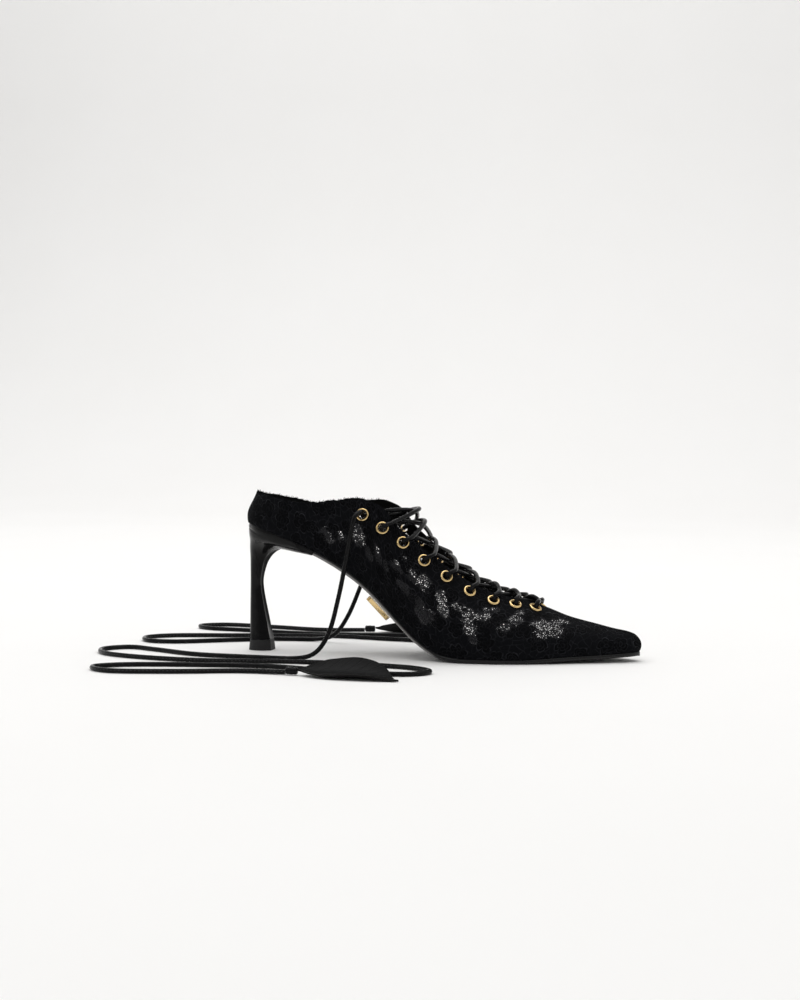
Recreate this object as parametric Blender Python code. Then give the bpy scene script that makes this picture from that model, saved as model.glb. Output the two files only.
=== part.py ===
"""Lace-up court shoe with a sculpted high heel, its pieces at their real size.

Metres, +Z up, +X to the toe. It is a right shoe: its outer (lateral) side is at -Y.
The origin is on the floor, midway along and across the shoe.
"""

import bpy
import bmesh
from bisect import bisect_right
from collections import namedtuple
from math import ceil, cos, hypot, pi, radians, sin, tau
from mathutils import Vector

# Sides of the shoe, as the sign of Y
LATERAL = -1
MEDIAL = 1
SIDE_NAMES = {LATERAL: "lateral", MEDIAL: "medial"}

MM = 0.001

# Driving sizes of the last
FEATHER_LENGTH = 0.2466
BALL_WIDTH = 0.0702
HEEL_RISE = 0.0794
WALL_HEIGHT = 0.058
MEDIAL_TOP_DROP = 0.10
HANDLE = 0.42

# Thicknesses, and the clearance between pieces that meet
GAP = 0.0003
UPPER_WALL = 0.0014
SOLE_THICKNESS = 0.0025
SOLE_EDGE_ROUND = 0.0008
WAIST_CROWN = 0.0030
CROWN_SLOPE = 0.6
INSOLE_THICKNESS = 0.0018
INSOLE_MARGIN = 0.0006
OUTSOLE_END = 0.997
INSOLE_START = 0.012
INSOLE_END = 0.985

# Heel
TOP_PIECE_HEIGHT = 0.0067
TOP_PIECE_SPREAD = 1.10
LIP_ALONG = 0.205
HEEL_REAR_ROUND = 2.4
SEAT_INSET = 0.0009
RING_CROWDING = 1.6
RING_SIDE_STEPS = 8
RING_FRONT_STEPS = 4

# Eyelets
EYELET_DIAMETER = 0.0080
EYELET_HOLE = 0.0046
EYELET_BARREL = 0.0050
EYELET_CROWN = 0.0013
EYELET_RIM = 0.0009
EYELET_LIFT = 0.00035
EYELET_TAIL = 0.0007
EYELET_SIDES = 10
HOLE_SIDES = 12

# Lace, its ties and the leaves on their ends
CORD_DIAMETER = 0.0028
CORD_CLEARANCE = 0.0004
CORD_FLOOR_GAP = 0.0001
TIE_WAY_OUT = 2.0
TIE_WAY_UP = 0.35
LEAF_LENGTH = 0.062
LEAF_WIDTH = 0.029
LEAF_THICKNESS = 0.0012
LEAF_EDGE = 0.55
LEAF_CURL = 0.0085
LEAF_OUTER_CURL = 0.25
LEAF_FLOOR_GAP = 0.0004
CAP_DIAMETER = 0.0044
CAP_LENGTH = 0.0070

# Blank plate under the arch
PLATE_LENGTH = 0.0183
PLATE_WIDTH = 0.0080
PLATE_THICKNESS = 0.0028
PLATE_ALONG = 0.380
PLATE_ACROSS = -0.0195

# Mesh steps
STATION_STEP = 0.010
SECTION_STEPS = 7
STRAND_STEPS = 10
STRAND_SIDES = 6
BAR_STEPS = 6
TIE_POINTS = 54
CAP_SIDES = 8
LEAF_STEPS = 9
CURVE_STEPS = 12

X_BACK = -FEATHER_LENGTH / 2
TREAD_TO_FEATHER = SOLE_THICKNESS + GAP
LACE_DEPTH = UPPER_WALL + EYELET_TAIL + GAP + CORD_DIAMETER / 2

# The last, from the back of the heel to the toe. along and top_along are shares of
# FEATHER_LENGTH for the lower and upper edge of the side, lateral, medial, middle and gap
# are shares of BALL_WIDTH, rise of HEEL_RISE and height of WALL_HEIGHT. flare and slant
# are the side's lean at its foot, outwards, and at its top edge, inwards, in degrees.
LAST_COLUMNS = ("along", "lateral", "medial", "rise",
                "top_along", "middle", "gap", "height", "flare", "slant")
LAST_TABLE = (
    (0.000, 0.000, 0.000, 1.000, 0.024, 0.000, 0.000, 0.319, 10, 22),
    (0.011, 0.154, 0.154, 0.992, 0.034, 0.000, 0.142, 0.321, 12, 20),
    (0.043, 0.282, 0.282, 0.965, 0.063, 0.000, 0.251, 0.343, 14, 17),
    (0.100, 0.353, 0.353, 0.908, 0.112, 0.000, 0.328, 0.383, 15, 14),
    (0.181, 0.385, 0.377, 0.816, 0.185, 0.000, 0.377, 0.464, 15, 12),
    (0.254, 0.382, 0.356, 0.703, 0.262, 0.000, 0.396, 0.655, 14, 14),
    (0.311, 0.377, 0.336, 0.589, 0.319, 0.000, 0.393, 0.834, 14, 16),
    (0.347, 0.379, 0.325, 0.499, 0.355, 0.000, 0.379, 0.917, 14, 20),
    (0.384, 0.385, 0.319, 0.388, 0.382, 0.000, 0.362, 1.003, 14, 24),
    (0.424, 0.399, 0.322, 0.259, 0.414, 0.000, 0.350, 1.007, 14, 28),
    (0.473, 0.430, 0.342, 0.120, 0.471, 0.000, 0.322, 0.986, 14, 34),
    (0.530, 0.473, 0.392, 0.024, 0.530, 0.000, 0.282, 0.919, 13, 42),
    (0.594, 0.501, 0.453, 0.000, 0.590, 0.007, 0.231, 0.772, 12, 50),
    (0.659, 0.493, 0.496, 0.000, 0.651, 0.014, 0.171, 0.648, 11, 58),
    (0.716, 0.452, 0.490, 0.000, 0.708, 0.021, 0.113, 0.586, 11, 66),
    (0.773, 0.390, 0.450, 0.008, 0.771, 0.028, 0.000, 0.483, 12, 73),
    (0.838, 0.302, 0.376, 0.021, 0.830, 0.034, 0.000, 0.371, 12, 74),
    (0.903, 0.211, 0.279, 0.030, 0.891, 0.034, 0.000, 0.295, 15, 72),
    (0.953, 0.131, 0.191, 0.038, 0.939, 0.031, 0.000, 0.236, 20, 68),
    (0.985, 0.066, 0.120, 0.043, 0.970, 0.028, 0.000, 0.205, 25, 62),
    (1.000, -0.026, 0.026, 0.045, 0.986, 0.026, 0.000, 0.179, 28, 56),
)

# Eyelets from the top one to the one over the toes. along is a share of FEATHER_LENGTH
# from the back, inset the distance below the top edge in eyelet diameters, heading the
# way to the throat's edge in degrees from straight up towards the toe, bulge the lift of
# the lace that rises from it, as a share of the distance between both sides, and lean
# that lift's slope above level in degrees.
EYELET_COLUMNS = ("along", "inset", "heading", "bulge", "lean")
EYELET_TABLE = (
    (0.334, 1.22, 72, 0.00, 0),
    (0.384, 1.50, 58, 0.17, 22),
    (0.433, 0.82, 50, 0.13, 35),
    (0.485, 0.84, 42, 0.04, 48),
    (0.539, 0.84, 34, 0.02, 50),
    (0.595, 0.92, 26, 0.09, 56),
    (0.651, 0.94, 18, 0.15, 62),
    (0.703, 0.94, 13, 0.17, 68),
    (0.748, 0.88, 13, 0.18, 72),
)
EyeletFrame = namedtuple("EyeletFrame", "centre normal edge edge_normal way")

# Heel rings from the top piece up to the seat. back and front are shares of the seat's
# length, back_rise and front_rise shares of HEEL_RISE above the tread, half_width a share
# of the seat's half width, corner the front edge's share of that width, rounding the
# share of the ring's length that its round back takes, crown the drop of the front
# edge's middle in shares of WAIST_CROWN.
HEEL_COLUMNS = ("back", "front", "back_rise", "front_rise",
                "half_width", "corner", "rounding", "crown")
HEEL_TABLE = (
    (0.052, 0.292, 0.000, 0.000, 0.235, 0.62, 0.55, 0.0),
    (0.050, 0.248, 0.190, 0.190, 0.205, 0.62, 0.55, 0.0),
    (0.046, 0.192, 0.480, 0.480, 0.178, 0.62, 0.55, 0.0),
    (0.042, 0.214, 0.670, 0.610, 0.240, 0.62, 0.55, 0.0),
    (0.038, 0.270, 0.770, 0.705, 0.370, 0.64, 0.58, 0.0),
    (0.034, 0.366, 0.850, 0.757, 0.540, 0.70, 0.62, 0.1),
    (0.030, 0.514, 0.905, 0.777, 0.720, 0.80, 0.68, 0.3),
    (0.026, 0.742, 0.945, 0.760, 0.870, 0.92, 0.80, 0.6),
)

# Route of each tie in millimetres, from the top eyelet down the side of the shoe and
# over the floor to its leaf.
TIE_ROUTES = {
    LATERAL: (
        (-42.6, -41.6, 86.9), (-45.0, -42.2, 76.0), (-48.5, -42.0, 58.0), (-53.0, -41.8, 37.0),
        (-58.5, -42.8, 17.0), (-67.0, -45.5, 4.6), (-82.0, -47.5, 1.5),
        (-110.0, -46.0, 1.5), (-144.0, -42.0, 1.5), (-176.0, -27.0, 1.5),
        (-197.0, -19.0, 1.5), (-210.0, -33.0, 1.5), (-198.0, -52.0, 1.5),
        (-164.0, -64.0, 1.5), (-122.0, -67.0, 1.5), (-80.0, -60.0, 1.5),
        (-38.0, -61.0, 1.5), (-2.0, -68.0, 1.5), (13.0, -82.0, 1.5),
        (-1.0, -95.0, 1.5), (-42.0, -91.0, 1.5), (-84.0, -82.0, 1.5),
        (-126.0, -86.0, 1.5), (-164.0, -94.0, 1.5), (-182.0, -108.0, 1.5),
        (-166.0, -121.0, 1.5), (-130.0, -115.0, 1.5), (-94.0, -104.0, 1.5),
        (-66.0, -104.0, 1.7),
    ),
    MEDIAL: (
        (-43.0, 41.8, 84.3), (-48.0, 41.8, 76.0), (-54.5, 41.5, 58.0), (-62.0, 41.0, 37.0),
        (-71.0, 41.5, 17.0), (-81.5, 43.5, 4.6), (-97.0, 46.0, 1.5),
        (-124.0, 42.0, 1.5), (-152.0, 28.0, 1.5), (-179.0, 14.0, 1.5),
        (-199.0, 15.0, 1.5), (-207.0, 31.0, 1.5), (-193.0, 45.0, 1.5),
        (-158.0, 54.0, 1.5), (-120.0, 63.0, 1.5), (-82.0, 67.0, 1.5),
        (-44.0, 60.0, 1.5), (-8.0, 58.0, 1.5), (12.0, 68.0, 1.5),
        (3.0, 82.0, 1.5), (-36.0, 84.0, 1.5), (-76.0, 77.0, 1.5),
        (-116.0, 77.0, 1.5), (-154.0, 85.0, 1.5), (-184.0, 90.0, 1.5),
        (-196.0, 103.0, 1.5), (-179.0, 114.0, 1.5), (-142.0, 108.0, 1.5),
        (-106.0, 100.0, 1.5), (-76.0, 104.0, 1.7),
    ),
}

# Outline of a leaf from the cap to its tip. along is a share of LEAF_LENGTH, inner and
# outer are shares of half LEAF_WIDTH, bend is the sideways bend as a share of LEAF_WIDTH.
LEAF_COLUMNS = ("along", "inner", "outer", "bend")
LEAF_TABLE = (
    (0.00, 0.05, 0.05, 0.00),
    (0.10, 0.45, 0.42, 0.02),
    (0.25, 0.88, 0.80, 0.05),
    (0.45, 1.00, 1.00, 0.06),
    (0.65, 0.84, 0.92, 0.02),
    (0.82, 0.52, 0.62, -0.10),
    (1.00, 0.02, 0.02, -0.34),
)


def remove_all_objects():
    for item in list(bpy.data.objects):
        bpy.data.objects.remove(item, do_unlink=True)


# Materials

def make_material(name, colour, roughness, metallic=0.0):
    material = bpy.data.materials.new(name)
    material.use_nodes = True
    shader = material.node_tree.nodes["Principled BSDF"]
    shader.inputs["Base Color"].default_value = (*colour, 1.0)
    shader.inputs["Roughness"].default_value = roughness
    shader.inputs["Metallic"].default_value = metallic
    material.diffuse_color = (*colour, 1.0)
    return material


def add_object(name, mesh, material):
    item = bpy.data.objects.new(name, mesh)
    bpy.context.scene.collection.objects.link(item)
    mesh.materials.append(material)
    return item


def mesh_from(name, points, faces):
    mesh = bpy.data.meshes.new(name)
    mesh.from_pydata([tuple(point) for point in points], [], faces)
    mesh.update()
    return mesh


def smooth(mesh, angle=40):
    mesh.shade_smooth()
    mesh.set_sharp_from_angle(angle=radians(angle))


def hide_guide(item):
    item.display_type = "WIRE"
    item.hide_render = True


# Curves through table rows

class SmoothTable:
    """Rows of numbers joined by curves that never overshoot a row."""

    def __init__(self, knots, rows):
        self.knots = knots
        self.rows = rows
        self.slopes = [self.column_slopes([row[k] for row in rows]) for k in range(len(rows[0]))]

    def column_slopes(self, values):
        slopes = [0.0] * len(values)
        for k in range(1, len(values) - 1):
            before = self.knots[k] - self.knots[k - 1]
            after = self.knots[k + 1] - self.knots[k]
            rise_before = (values[k] - values[k - 1]) / before
            rise_after = (values[k + 1] - values[k]) / after
            if rise_before * rise_after > 0:
                weight_before = 2 * after + before
                weight_after = after + 2 * before
                total = weight_before / rise_before + weight_after / rise_after
                slopes[k] = (weight_before + weight_after) / total
        return slopes

    def at(self, s):
        k = min(max(bisect_right(self.knots, s) - 1, 0), len(self.knots) - 2)
        step = self.knots[k + 1] - self.knots[k]
        t = (s - self.knots[k]) / step
        start = 1 - 3 * t ** 2 + 2 * t ** 3
        leave = (t - 2 * t ** 2 + t ** 3) * step
        arrive = (t ** 3 - t ** 2) * step
        return [start * a + leave * column[k] + (1 - start) * b + arrive * column[k + 1]
                for a, b, column in zip(self.rows[k], self.rows[k + 1], self.slopes)]


def smooth_route(points, count):
    """Evenly spaced points on a smooth curve through the given ones."""
    points = [Vector(point) for point in points]
    ends = [2 * points[0] - points[1]] + points + [2 * points[-1] - points[-2]]
    fine = []
    for k in range(1, len(ends) - 2):
        p0, p1, p2, p3 = ends[k - 1:k + 3]
        for step in range(CURVE_STEPS):
            t = step / CURVE_STEPS
            fine.append(0.5 * (2 * p1 + (p2 - p0) * t + (2 * p0 - 5 * p1 + 4 * p2 - p3) * t ** 2
                               + (3 * p1 - p0 - 3 * p2 + p3) * t ** 3))
    fine.append(points[-1])
    return even_points(fine, count)


def even_points(points, count):
    lengths = [0.0]
    for before, after in zip(points, points[1:]):
        lengths.append(lengths[-1] + (after - before).length)
    result = []
    for k in range(count):
        wanted = lengths[-1] * k / (count - 1)
        j = min(max(bisect_right(lengths, wanted) - 1, 0), len(points) - 2)
        t = (wanted - lengths[j]) / (lengths[j + 1] - lengths[j])
        result.append(points[j].lerp(points[j + 1], min(t, 1.0)))
    return result


# The last's surface

def last_row(values, side):
    row = dict(zip(LAST_COLUMNS, values))
    half = row["lateral"] if side == LATERAL else row["medial"]
    feather_z = TREAD_TO_FEATHER + row["rise"] * HEEL_RISE
    return (
        X_BACK + row["along"] * FEATHER_LENGTH,
        side * half * BALL_WIDTH,
        feather_z,
        X_BACK + row["top_along"] * FEATHER_LENGTH,
        row["middle"] * BALL_WIDTH,
        side * row["gap"] * BALL_WIDTH,
        feather_z + row["height"] * WALL_HEIGHT,
        radians(row["flare"]),
        radians(row["slant"]),
    )


def side_knots():
    """Distance along the last's edge from the back, the mean of both sides."""
    knots = [0.0]
    for before, after in zip(LAST_TABLE, LAST_TABLE[1:]):
        steps = []
        for side in (LATERAL, MEDIAL):
            a = last_row(before, side)
            b = last_row(after, side)
            steps.append(hypot(b[0] - a[0], b[1] - a[1], b[2] - a[2]))
        knots.append(knots[-1] + sum(steps) / 2)
    return knots


class Last:
    """The shoe's outer surface. The place p runs from 0 at the back to 1 at the toe on
    either side, and u from 0 at the feather edge to 1 at the top edge."""

    def __init__(self):
        knots = side_knots()
        self.reach = knots[-1]
        self.row_places = [knot / self.reach for knot in knots]
        lateral = [last_row(values, LATERAL) for values in LAST_TABLE]
        medial = [last_row(values, MEDIAL) for values in LAST_TABLE]
        ring = lateral[::-1] + medial[1:]
        ring_knots = [-knot for knot in knots[::-1]] + knots[1:]
        toe_step = knots[-1] - knots[-2]
        ring = [medial[-2]] + ring + [lateral[-2]]
        ring_knots = [-self.reach - toe_step] + ring_knots + [self.reach + toe_step]
        self.table = SmoothTable(ring_knots, ring)

    def values(self, side, p):
        return self.table.at(side * p * self.reach)

    def feather(self, side, p):
        return Vector(self.values(side, p)[:3])

    def out(self, side, p):
        """Level direction away from the shoe, square to the feather edge."""
        s = side * p * self.reach
        step = 0.0004
        before = Vector(self.table.at(s - step)[:2])
        after = Vector(self.table.at(s + step)[:2])
        along = (after - before).normalized()
        return Vector((-along.y, along.x, 0.0))

    def point(self, side, p, u):
        values = self.values(side, p)
        feather = Vector(values[:3])
        top_x, middle_y, gap_y, top_z, flare, slant = values[3:]
        medial_drop = MEDIAL_TOP_DROP * max(gap_y, 0.0)
        top = Vector((top_x, middle_y + gap_y, top_z - medial_drop))
        reach = HANDLE * (top - feather).length
        out = self.out(side, p)
        up = Vector((0.0, 0.0, 1.0))
        lower = feather + reach * (sin(flare) * out + cos(flare) * up)
        upper = top + reach * (sin(slant) * out - cos(slant) * up)
        v = 1 - u
        return v ** 3 * feather + 3 * v * v * u * lower + 3 * v * u * u * upper + u ** 3 * top

    def frame(self, side, p, u):
        """Point, outward normal and the direction towards the top edge."""
        step = 0.004
        here = self.point(side, p, u)
        upward = self.point(side, p, min(u + step, 1.0)) - self.point(side, p, u - step)
        ahead = self.point(side, p + step, u) - self.point(side, p - step, u)
        normal = upward.cross(ahead) * side
        return here, normal.normalized(), upward.normalized()

    def below_edge(self, side, p, distance):
        """The u of the point that lies a distance down the side from the top edge."""
        u = 1.0
        walked = 0.0
        last_point = self.point(side, p, u)
        while walked < distance:
            u -= 0.005
            here = self.point(side, p, u)
            walked += (here - last_point).length
            last_point = here
        return u

    def place_where(self, amount):
        """The p at which the amount, rising with p, reaches zero."""
        low, high = 0.0, 1.0
        for _ in range(30):
            middle = (low + high) / 2
            if amount(middle) < 0:
                low = middle
            else:
                high = middle
        return (low + high) / 2

    def place_of_x(self, x):
        """The p at which the sole's middle line reaches x."""
        return self.place_where(lambda p: self.middle(p).x - x)

    def down(self, p):
        """Square to the feather line as seen from the side, downwards, and its slope."""
        step = 0.004
        before = self.middle(p - step)
        after = self.middle(p + step)
        along = Vector((after.x - before.x, 0.0, after.z - before.z)).normalized()
        return Vector((along.z, 0.0, -along.x)), abs(along.z / along.x)

    def middle(self, p):
        return (self.feather(LATERAL, p) + self.feather(MEDIAL, p)) / 2


def stations(last, start=0.0, end=1.0):
    """Places from start to end, with every table row among them."""
    rows = [place for place in last.row_places if start < place < end]
    marks = [start] + rows + [end]
    places = []
    for before, after in zip(marks, marks[1:]):
        steps = max(1, ceil((after - before) * last.reach / STATION_STEP))
        places += [before + (after - before) * k / steps for k in range(steps)]
    return places + [end]


# Upper

def build_upper(last, material, eyelets):
    places = stations(last)
    ring = [(LATERAL, p) for p in places[::-1]] + [(MEDIAL, p) for p in places[1:-1]]
    points = []
    for side, p in ring:
        points += [last.point(side, p, k / SECTION_STEPS) for k in range(SECTION_STEPS + 1)]
    rows = SECTION_STEPS + 1
    faces = []
    for i in range(len(ring)):
        j = (i + 1) % len(ring)
        for k in range(SECTION_STEPS):
            faces.append((i * rows + k, i * rows + k + 1, j * rows + k + 1, j * rows + k))
    mesh = mesh_from("upper", points, faces)
    weld_ridge(mesh)
    upper = add_object("upper", mesh, material)
    wall = upper.modifiers.new("wall", "SOLIDIFY")
    wall.thickness = UPPER_WALL
    wall.offset = -1
    holes = upper.modifiers.new("eyelet holes", "BOOLEAN")
    holes.operation = "DIFFERENCE"
    holes.object = eyelet_hole_guide(eyelets)
    return upper


def weld_ridge(mesh):
    """Joins both sides where their top edges meet along the vamp."""
    shape = bmesh.new()
    shape.from_mesh(mesh)
    bmesh.ops.remove_doubles(shape, verts=shape.verts, dist=0.01 * MM)
    shape.to_mesh(mesh)
    shape.free()


def eyelet_hole_guide(eyelets):
    shape = bmesh.new()
    radius = (EYELET_BARREL / 2 + GAP) / cos(pi / HOLE_SIDES)
    for eyelet in eyelets.values():
        turn = eyelet.normal.to_track_quat("Z", "Y").to_matrix().to_4x4()
        turn.translation = eyelet.centre
        bmesh.ops.create_cone(shape, cap_ends=True, segments=HOLE_SIDES, radius1=radius,
                              radius2=radius, depth=6 * UPPER_WALL, matrix=turn)
    mesh = bpy.data.meshes.new("eyelet_hole_guide")
    shape.to_mesh(mesh)
    shape.free()
    guide = bpy.data.objects.new("eyelet_hole_guide", mesh)
    bpy.context.scene.collection.objects.link(guide)
    hide_guide(guide)
    return guide


# Eyelets

def eyelet_rows():
    return [dict(zip(EYELET_COLUMNS, values)) for values in EYELET_TABLE]


def eyelet_frames(last):
    """Where each eyelet sits, and where a lace from it crosses the throat's edge."""
    frames = {}
    for side in (LATERAL, MEDIAL):
        for number, row in enumerate(eyelet_rows(), start=1):
            distance = row["inset"] * EYELET_DIAMETER
            x = X_BACK + row["along"] * FEATHER_LENGTH
            p = last.place_where(
                lambda p: last.point(side, p, last.below_edge(side, p, distance)).x - x)
            centre, normal, upward = last.frame(side, p, last.below_edge(side, p, distance))
            ahead = normal.cross(upward) * side
            heading = radians(row["heading"])
            beside = cos(heading) * ahead - sin(heading) * upward
            edge_p = last.place_where(lambda p: (last.point(side, p, 1.0) - centre).dot(beside))
            edge, edge_normal, _ = last.frame(side, edge_p, 1.0)
            way = edge - centre
            way = (way - way.dot(normal) * normal).normalized()
            frames[side, number] = EyeletFrame(centre, normal, edge, edge_normal, way)
    return frames


def eyelet_mesh():
    hole = EYELET_HOLE / 2
    rim = EYELET_DIAMETER / 2
    profile = (
        (hole, EYELET_RIM),
        ((hole + rim) / 2, EYELET_CROWN),
        (rim, EYELET_LIFT),
        (EYELET_BARREL / 2, EYELET_LIFT),
        (EYELET_BARREL / 2, -UPPER_WALL - EYELET_TAIL),
        (hole, -UPPER_WALL - EYELET_TAIL),
    )
    points = []
    faces = []
    count = len(profile)
    for turn in range(EYELET_SIDES):
        angle = tau * turn / EYELET_SIDES
        following = (turn + 1) % EYELET_SIDES
        points += [(radius * cos(angle), radius * sin(angle), height) for radius, height in profile]
        for k in range(count):
            m = (k + 1) % count
            faces.append((turn * count + k, turn * count + m, following * count + m,
                          following * count + k))
    mesh = mesh_from("eyelet", points, faces)
    smooth(mesh)
    return mesh


def build_eyelets(eyelets, material):
    mesh = eyelet_mesh()
    mesh.materials.append(material)
    for (side, number), frame in eyelets.items():
        name = "eyelet_%s_%d" % (SIDE_NAMES[side], number)
        eyelet = bpy.data.objects.new(name, mesh)
        eyelet.location = frame.centre
        eyelet.rotation_mode = "QUATERNION"
        eyelet.rotation_quaternion = frame.normal.to_track_quat("Z", "Y")
        bpy.context.scene.collection.objects.link(eyelet)


# Outsole, insole and plate

def waist_crown(slope):
    return WAIST_CROWN * min(1.0, slope / CROWN_SLOPE)


def strip_solid(name, rows, material):
    """A closed solid from rows of points, each row running round its cross-section.
    The first and last rows are capped."""
    width = len(rows[0])
    points = [point for row in rows for point in row]
    faces = []
    for i in range(len(rows) - 1):
        for k in range(width):
            m = (k + 1) % width
            faces.append((i * width + k, i * width + m, (i + 1) * width + m, (i + 1) * width + k))
    faces.append(tuple(range(width - 1, -1, -1)))
    end = (len(rows) - 1) * width
    faces.append(tuple(range(end, end + width)))
    mesh = mesh_from(name, points, faces)
    shape = bmesh.new()
    shape.from_mesh(mesh)
    bmesh.ops.remove_doubles(shape, verts=shape.verts, dist=0.02 * MM)
    bmesh.ops.recalc_face_normals(shape, faces=shape.faces)
    shape.to_mesh(mesh)
    shape.free()
    smooth(mesh)
    return add_object(name, mesh, material)


def sole_row(last, p):
    """One cross-section of the outsole, round from its top lateral edge."""
    down, slope = last.down(p)
    edges = [last.feather(side, p) for side in (LATERAL, MEDIAL)]
    inward = [-last.out(side, p) for side in (LATERAL, MEDIAL)]
    half = (edges[1] - edges[0]).length / 2
    pinch = min(SOLE_EDGE_ROUND, 0.3 * half)
    crown = waist_crown(slope)
    top = [edge + GAP * down for edge in edges]
    side = [edge + (GAP + SOLE_THICKNESS - SOLE_EDGE_ROUND) * down for edge in edges]
    foot = [edge + (GAP + SOLE_THICKNESS) * down + pinch * way for edge, way in zip(edges, inward)]
    belly = []
    for share in (0.25, 0.5, 0.75):
        drop = crown * (1 - (2 * share - 1) ** 2)
        belly.append(foot[0].lerp(foot[1], share) + drop * down)
    row = [top[0], side[0], foot[0], *belly, foot[1], side[1], top[1]]
    for point in row:
        point.z = max(point.z, 0.0)
    return row


def build_outsole(last, material):
    lip = last.place_of_x(X_BACK + LIP_ALONG * FEATHER_LENGTH)
    start = lip + GAP / last.reach
    rows = [sole_row(last, p) for p in stations(last, start, OUTSOLE_END)]
    return strip_solid("outsole", rows, material)


def build_insole(last, material):
    margin = UPPER_WALL + INSOLE_MARGIN
    rows = []
    for p in stations(last, INSOLE_START, INSOLE_END):
        down, _ = last.down(p)
        lateral, medial = [last.feather(side, p) - margin * last.out(side, p)
                           for side in (LATERAL, MEDIAL)]
        thickness = -INSOLE_THICKNESS * down
        rows.append([lateral, medial, medial + thickness, lateral + thickness])
    return strip_solid("insole", rows, material)


def build_sole_plate(last, material):
    """A blank plate, standing proud of the crowned waist."""
    centre_p = last.place_of_x(X_BACK + PLATE_ALONG * FEATHER_LENGTH)
    half_p = PLATE_LENGTH / 2 / last.reach
    rows = []
    for k in range(5):
        p = centre_p + half_p * (k / 2 - 1)
        down, slope = last.down(p)
        row = sole_row(last, p)
        lateral, medial = row[2], row[6]
        half = (medial.y - lateral.y) / 2
        middle = (medial + lateral) / 2
        corners = []
        for across in (PLATE_ACROSS - PLATE_WIDTH / 2, PLATE_ACROSS + PLATE_WIDTH / 2):
            share = (across - middle.y) / half
            drop = waist_crown(slope) * (1 - share ** 2)
            seat = Vector((middle.x, across, middle.z)) + (drop + GAP) * down
            corners.append((seat, seat + PLATE_THICKNESS * down))
        rows.append([corners[0][0], corners[1][0], corners[1][1], corners[0][1]])
    return strip_solid("sole_plate", rows, material)


# Heel

def round_back(q, rounding):
    """Half width of a ring at q of its length, as a share of its widest."""
    reach = min(q / rounding, 1.0)
    return (1 - (1 - reach) ** HEEL_REAR_ROUND) ** (1 / HEEL_REAR_ROUND)


def ring_points(half_lateral, half_medial, place):
    """Points of a ring: half widths at each step from the back, then the front edge."""
    shares = [(k / RING_SIDE_STEPS) ** RING_CROWDING for k in range(1, RING_SIDE_STEPS + 1)]
    points = [place(q, -half_lateral(q)) for q in shares[::-1]]
    points.append(place(0.0, 0.0))
    points += [place(q, half_medial(q)) for q in shares]
    for k in range(1, RING_FRONT_STEPS):
        share = 1 - 2 * k / RING_FRONT_STEPS
        width = half_medial(1.0) if share > 0 else half_lateral(1.0)
        points.append(place(1.0, share * width))
    return points


def heel_seat_ring(last, depth):
    """The heel's top edge, a depth below the feather edge and as wide as it."""
    lip = last.place_of_x(X_BACK + LIP_ALONG * FEATHER_LENGTH)

    def p_of(q):
        return lip * q

    def place(q, y):
        down, _ = last.down(max(p_of(q), 0.02))
        point = last.middle(p_of(q)) + depth * down
        point.x += SEAT_INSET * (1 - q)
        point.y = y
        return point

    return ring_points(lambda q: -last.feather(LATERAL, p_of(q)).y - SEAT_INSET * (1 - q),
                       lambda q: last.feather(MEDIAL, p_of(q)).y - SEAT_INSET * (1 - q), place)


def heel_ring(last, values):
    row = dict(zip(HEEL_COLUMNS, values))
    seat_length = LIP_ALONG * FEATHER_LENGTH
    base = TOP_PIECE_HEIGHT + GAP
    seat_half = -last.feather(LATERAL, last.place_of_x(X_BACK + seat_length)).y
    back_x = X_BACK + row["back"] * seat_length
    front_x = X_BACK + row["front"] * seat_length
    back_z = base + row["back_rise"] * (HEEL_RISE + TREAD_TO_FEATHER - base)
    front_z = base + row["front_rise"] * (HEEL_RISE + TREAD_TO_FEATHER - base)
    widest = row["half_width"] * seat_half

    def half(q):
        taper = 1 - (1 - row["corner"]) * max(0.0, (q - 0.5) / 0.5) ** 2
        return widest * round_back(q, row["rounding"]) * taper

    def place(q, y):
        drop = row["crown"] * WAIST_CROWN * q * (1 - (y / widest) ** 2)
        return Vector((back_x + q * (front_x - back_x), y, back_z + q * (front_z - back_z) - drop))

    return ring_points(half, half, place)


def build_heel(last, material):
    rings = [heel_ring(last, values) for values in HEEL_TABLE]
    rings.append(heel_seat_ring(last, GAP + SOLE_THICKNESS))
    rings.append(heel_seat_ring(last, GAP))
    return strip_solid("heel", rings, material)


def build_top_piece(last, material):
    foot = heel_ring(last, HEEL_TABLE[0])
    base = TOP_PIECE_HEIGHT + GAP
    rings = []
    centre_x = sum(point.x for point in foot) / len(foot)
    for height, spread in ((0.0, TOP_PIECE_SPREAD), (TOP_PIECE_HEIGHT, 1.0)):
        ring = []
        for point in foot:
            ring.append(Vector((centre_x + (point.x - centre_x) * spread, point.y * spread,
                                point.z - base + height)))
        rings.append(ring)
    return strip_solid("heel_top_piece", rings, material)


# Lace

def tube_rows(points, radius, sides):
    """Rings of a round tube along the points."""
    rows = []
    side_way = None
    for k, point in enumerate(points):
        before = points[max(k - 1, 0)]
        after = points[min(k + 1, len(points) - 1)]
        along = (after - before).normalized()
        if side_way is None:
            side_way = along.orthogonal().normalized()
        side_way = (side_way - side_way.dot(along) * along).normalized()
        other = along.cross(side_way)
        rows.append([point + radius * (cos(tau * j / sides) * side_way + sin(tau * j / sides) * other)
                     for j in range(sides)])
    return rows


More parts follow.
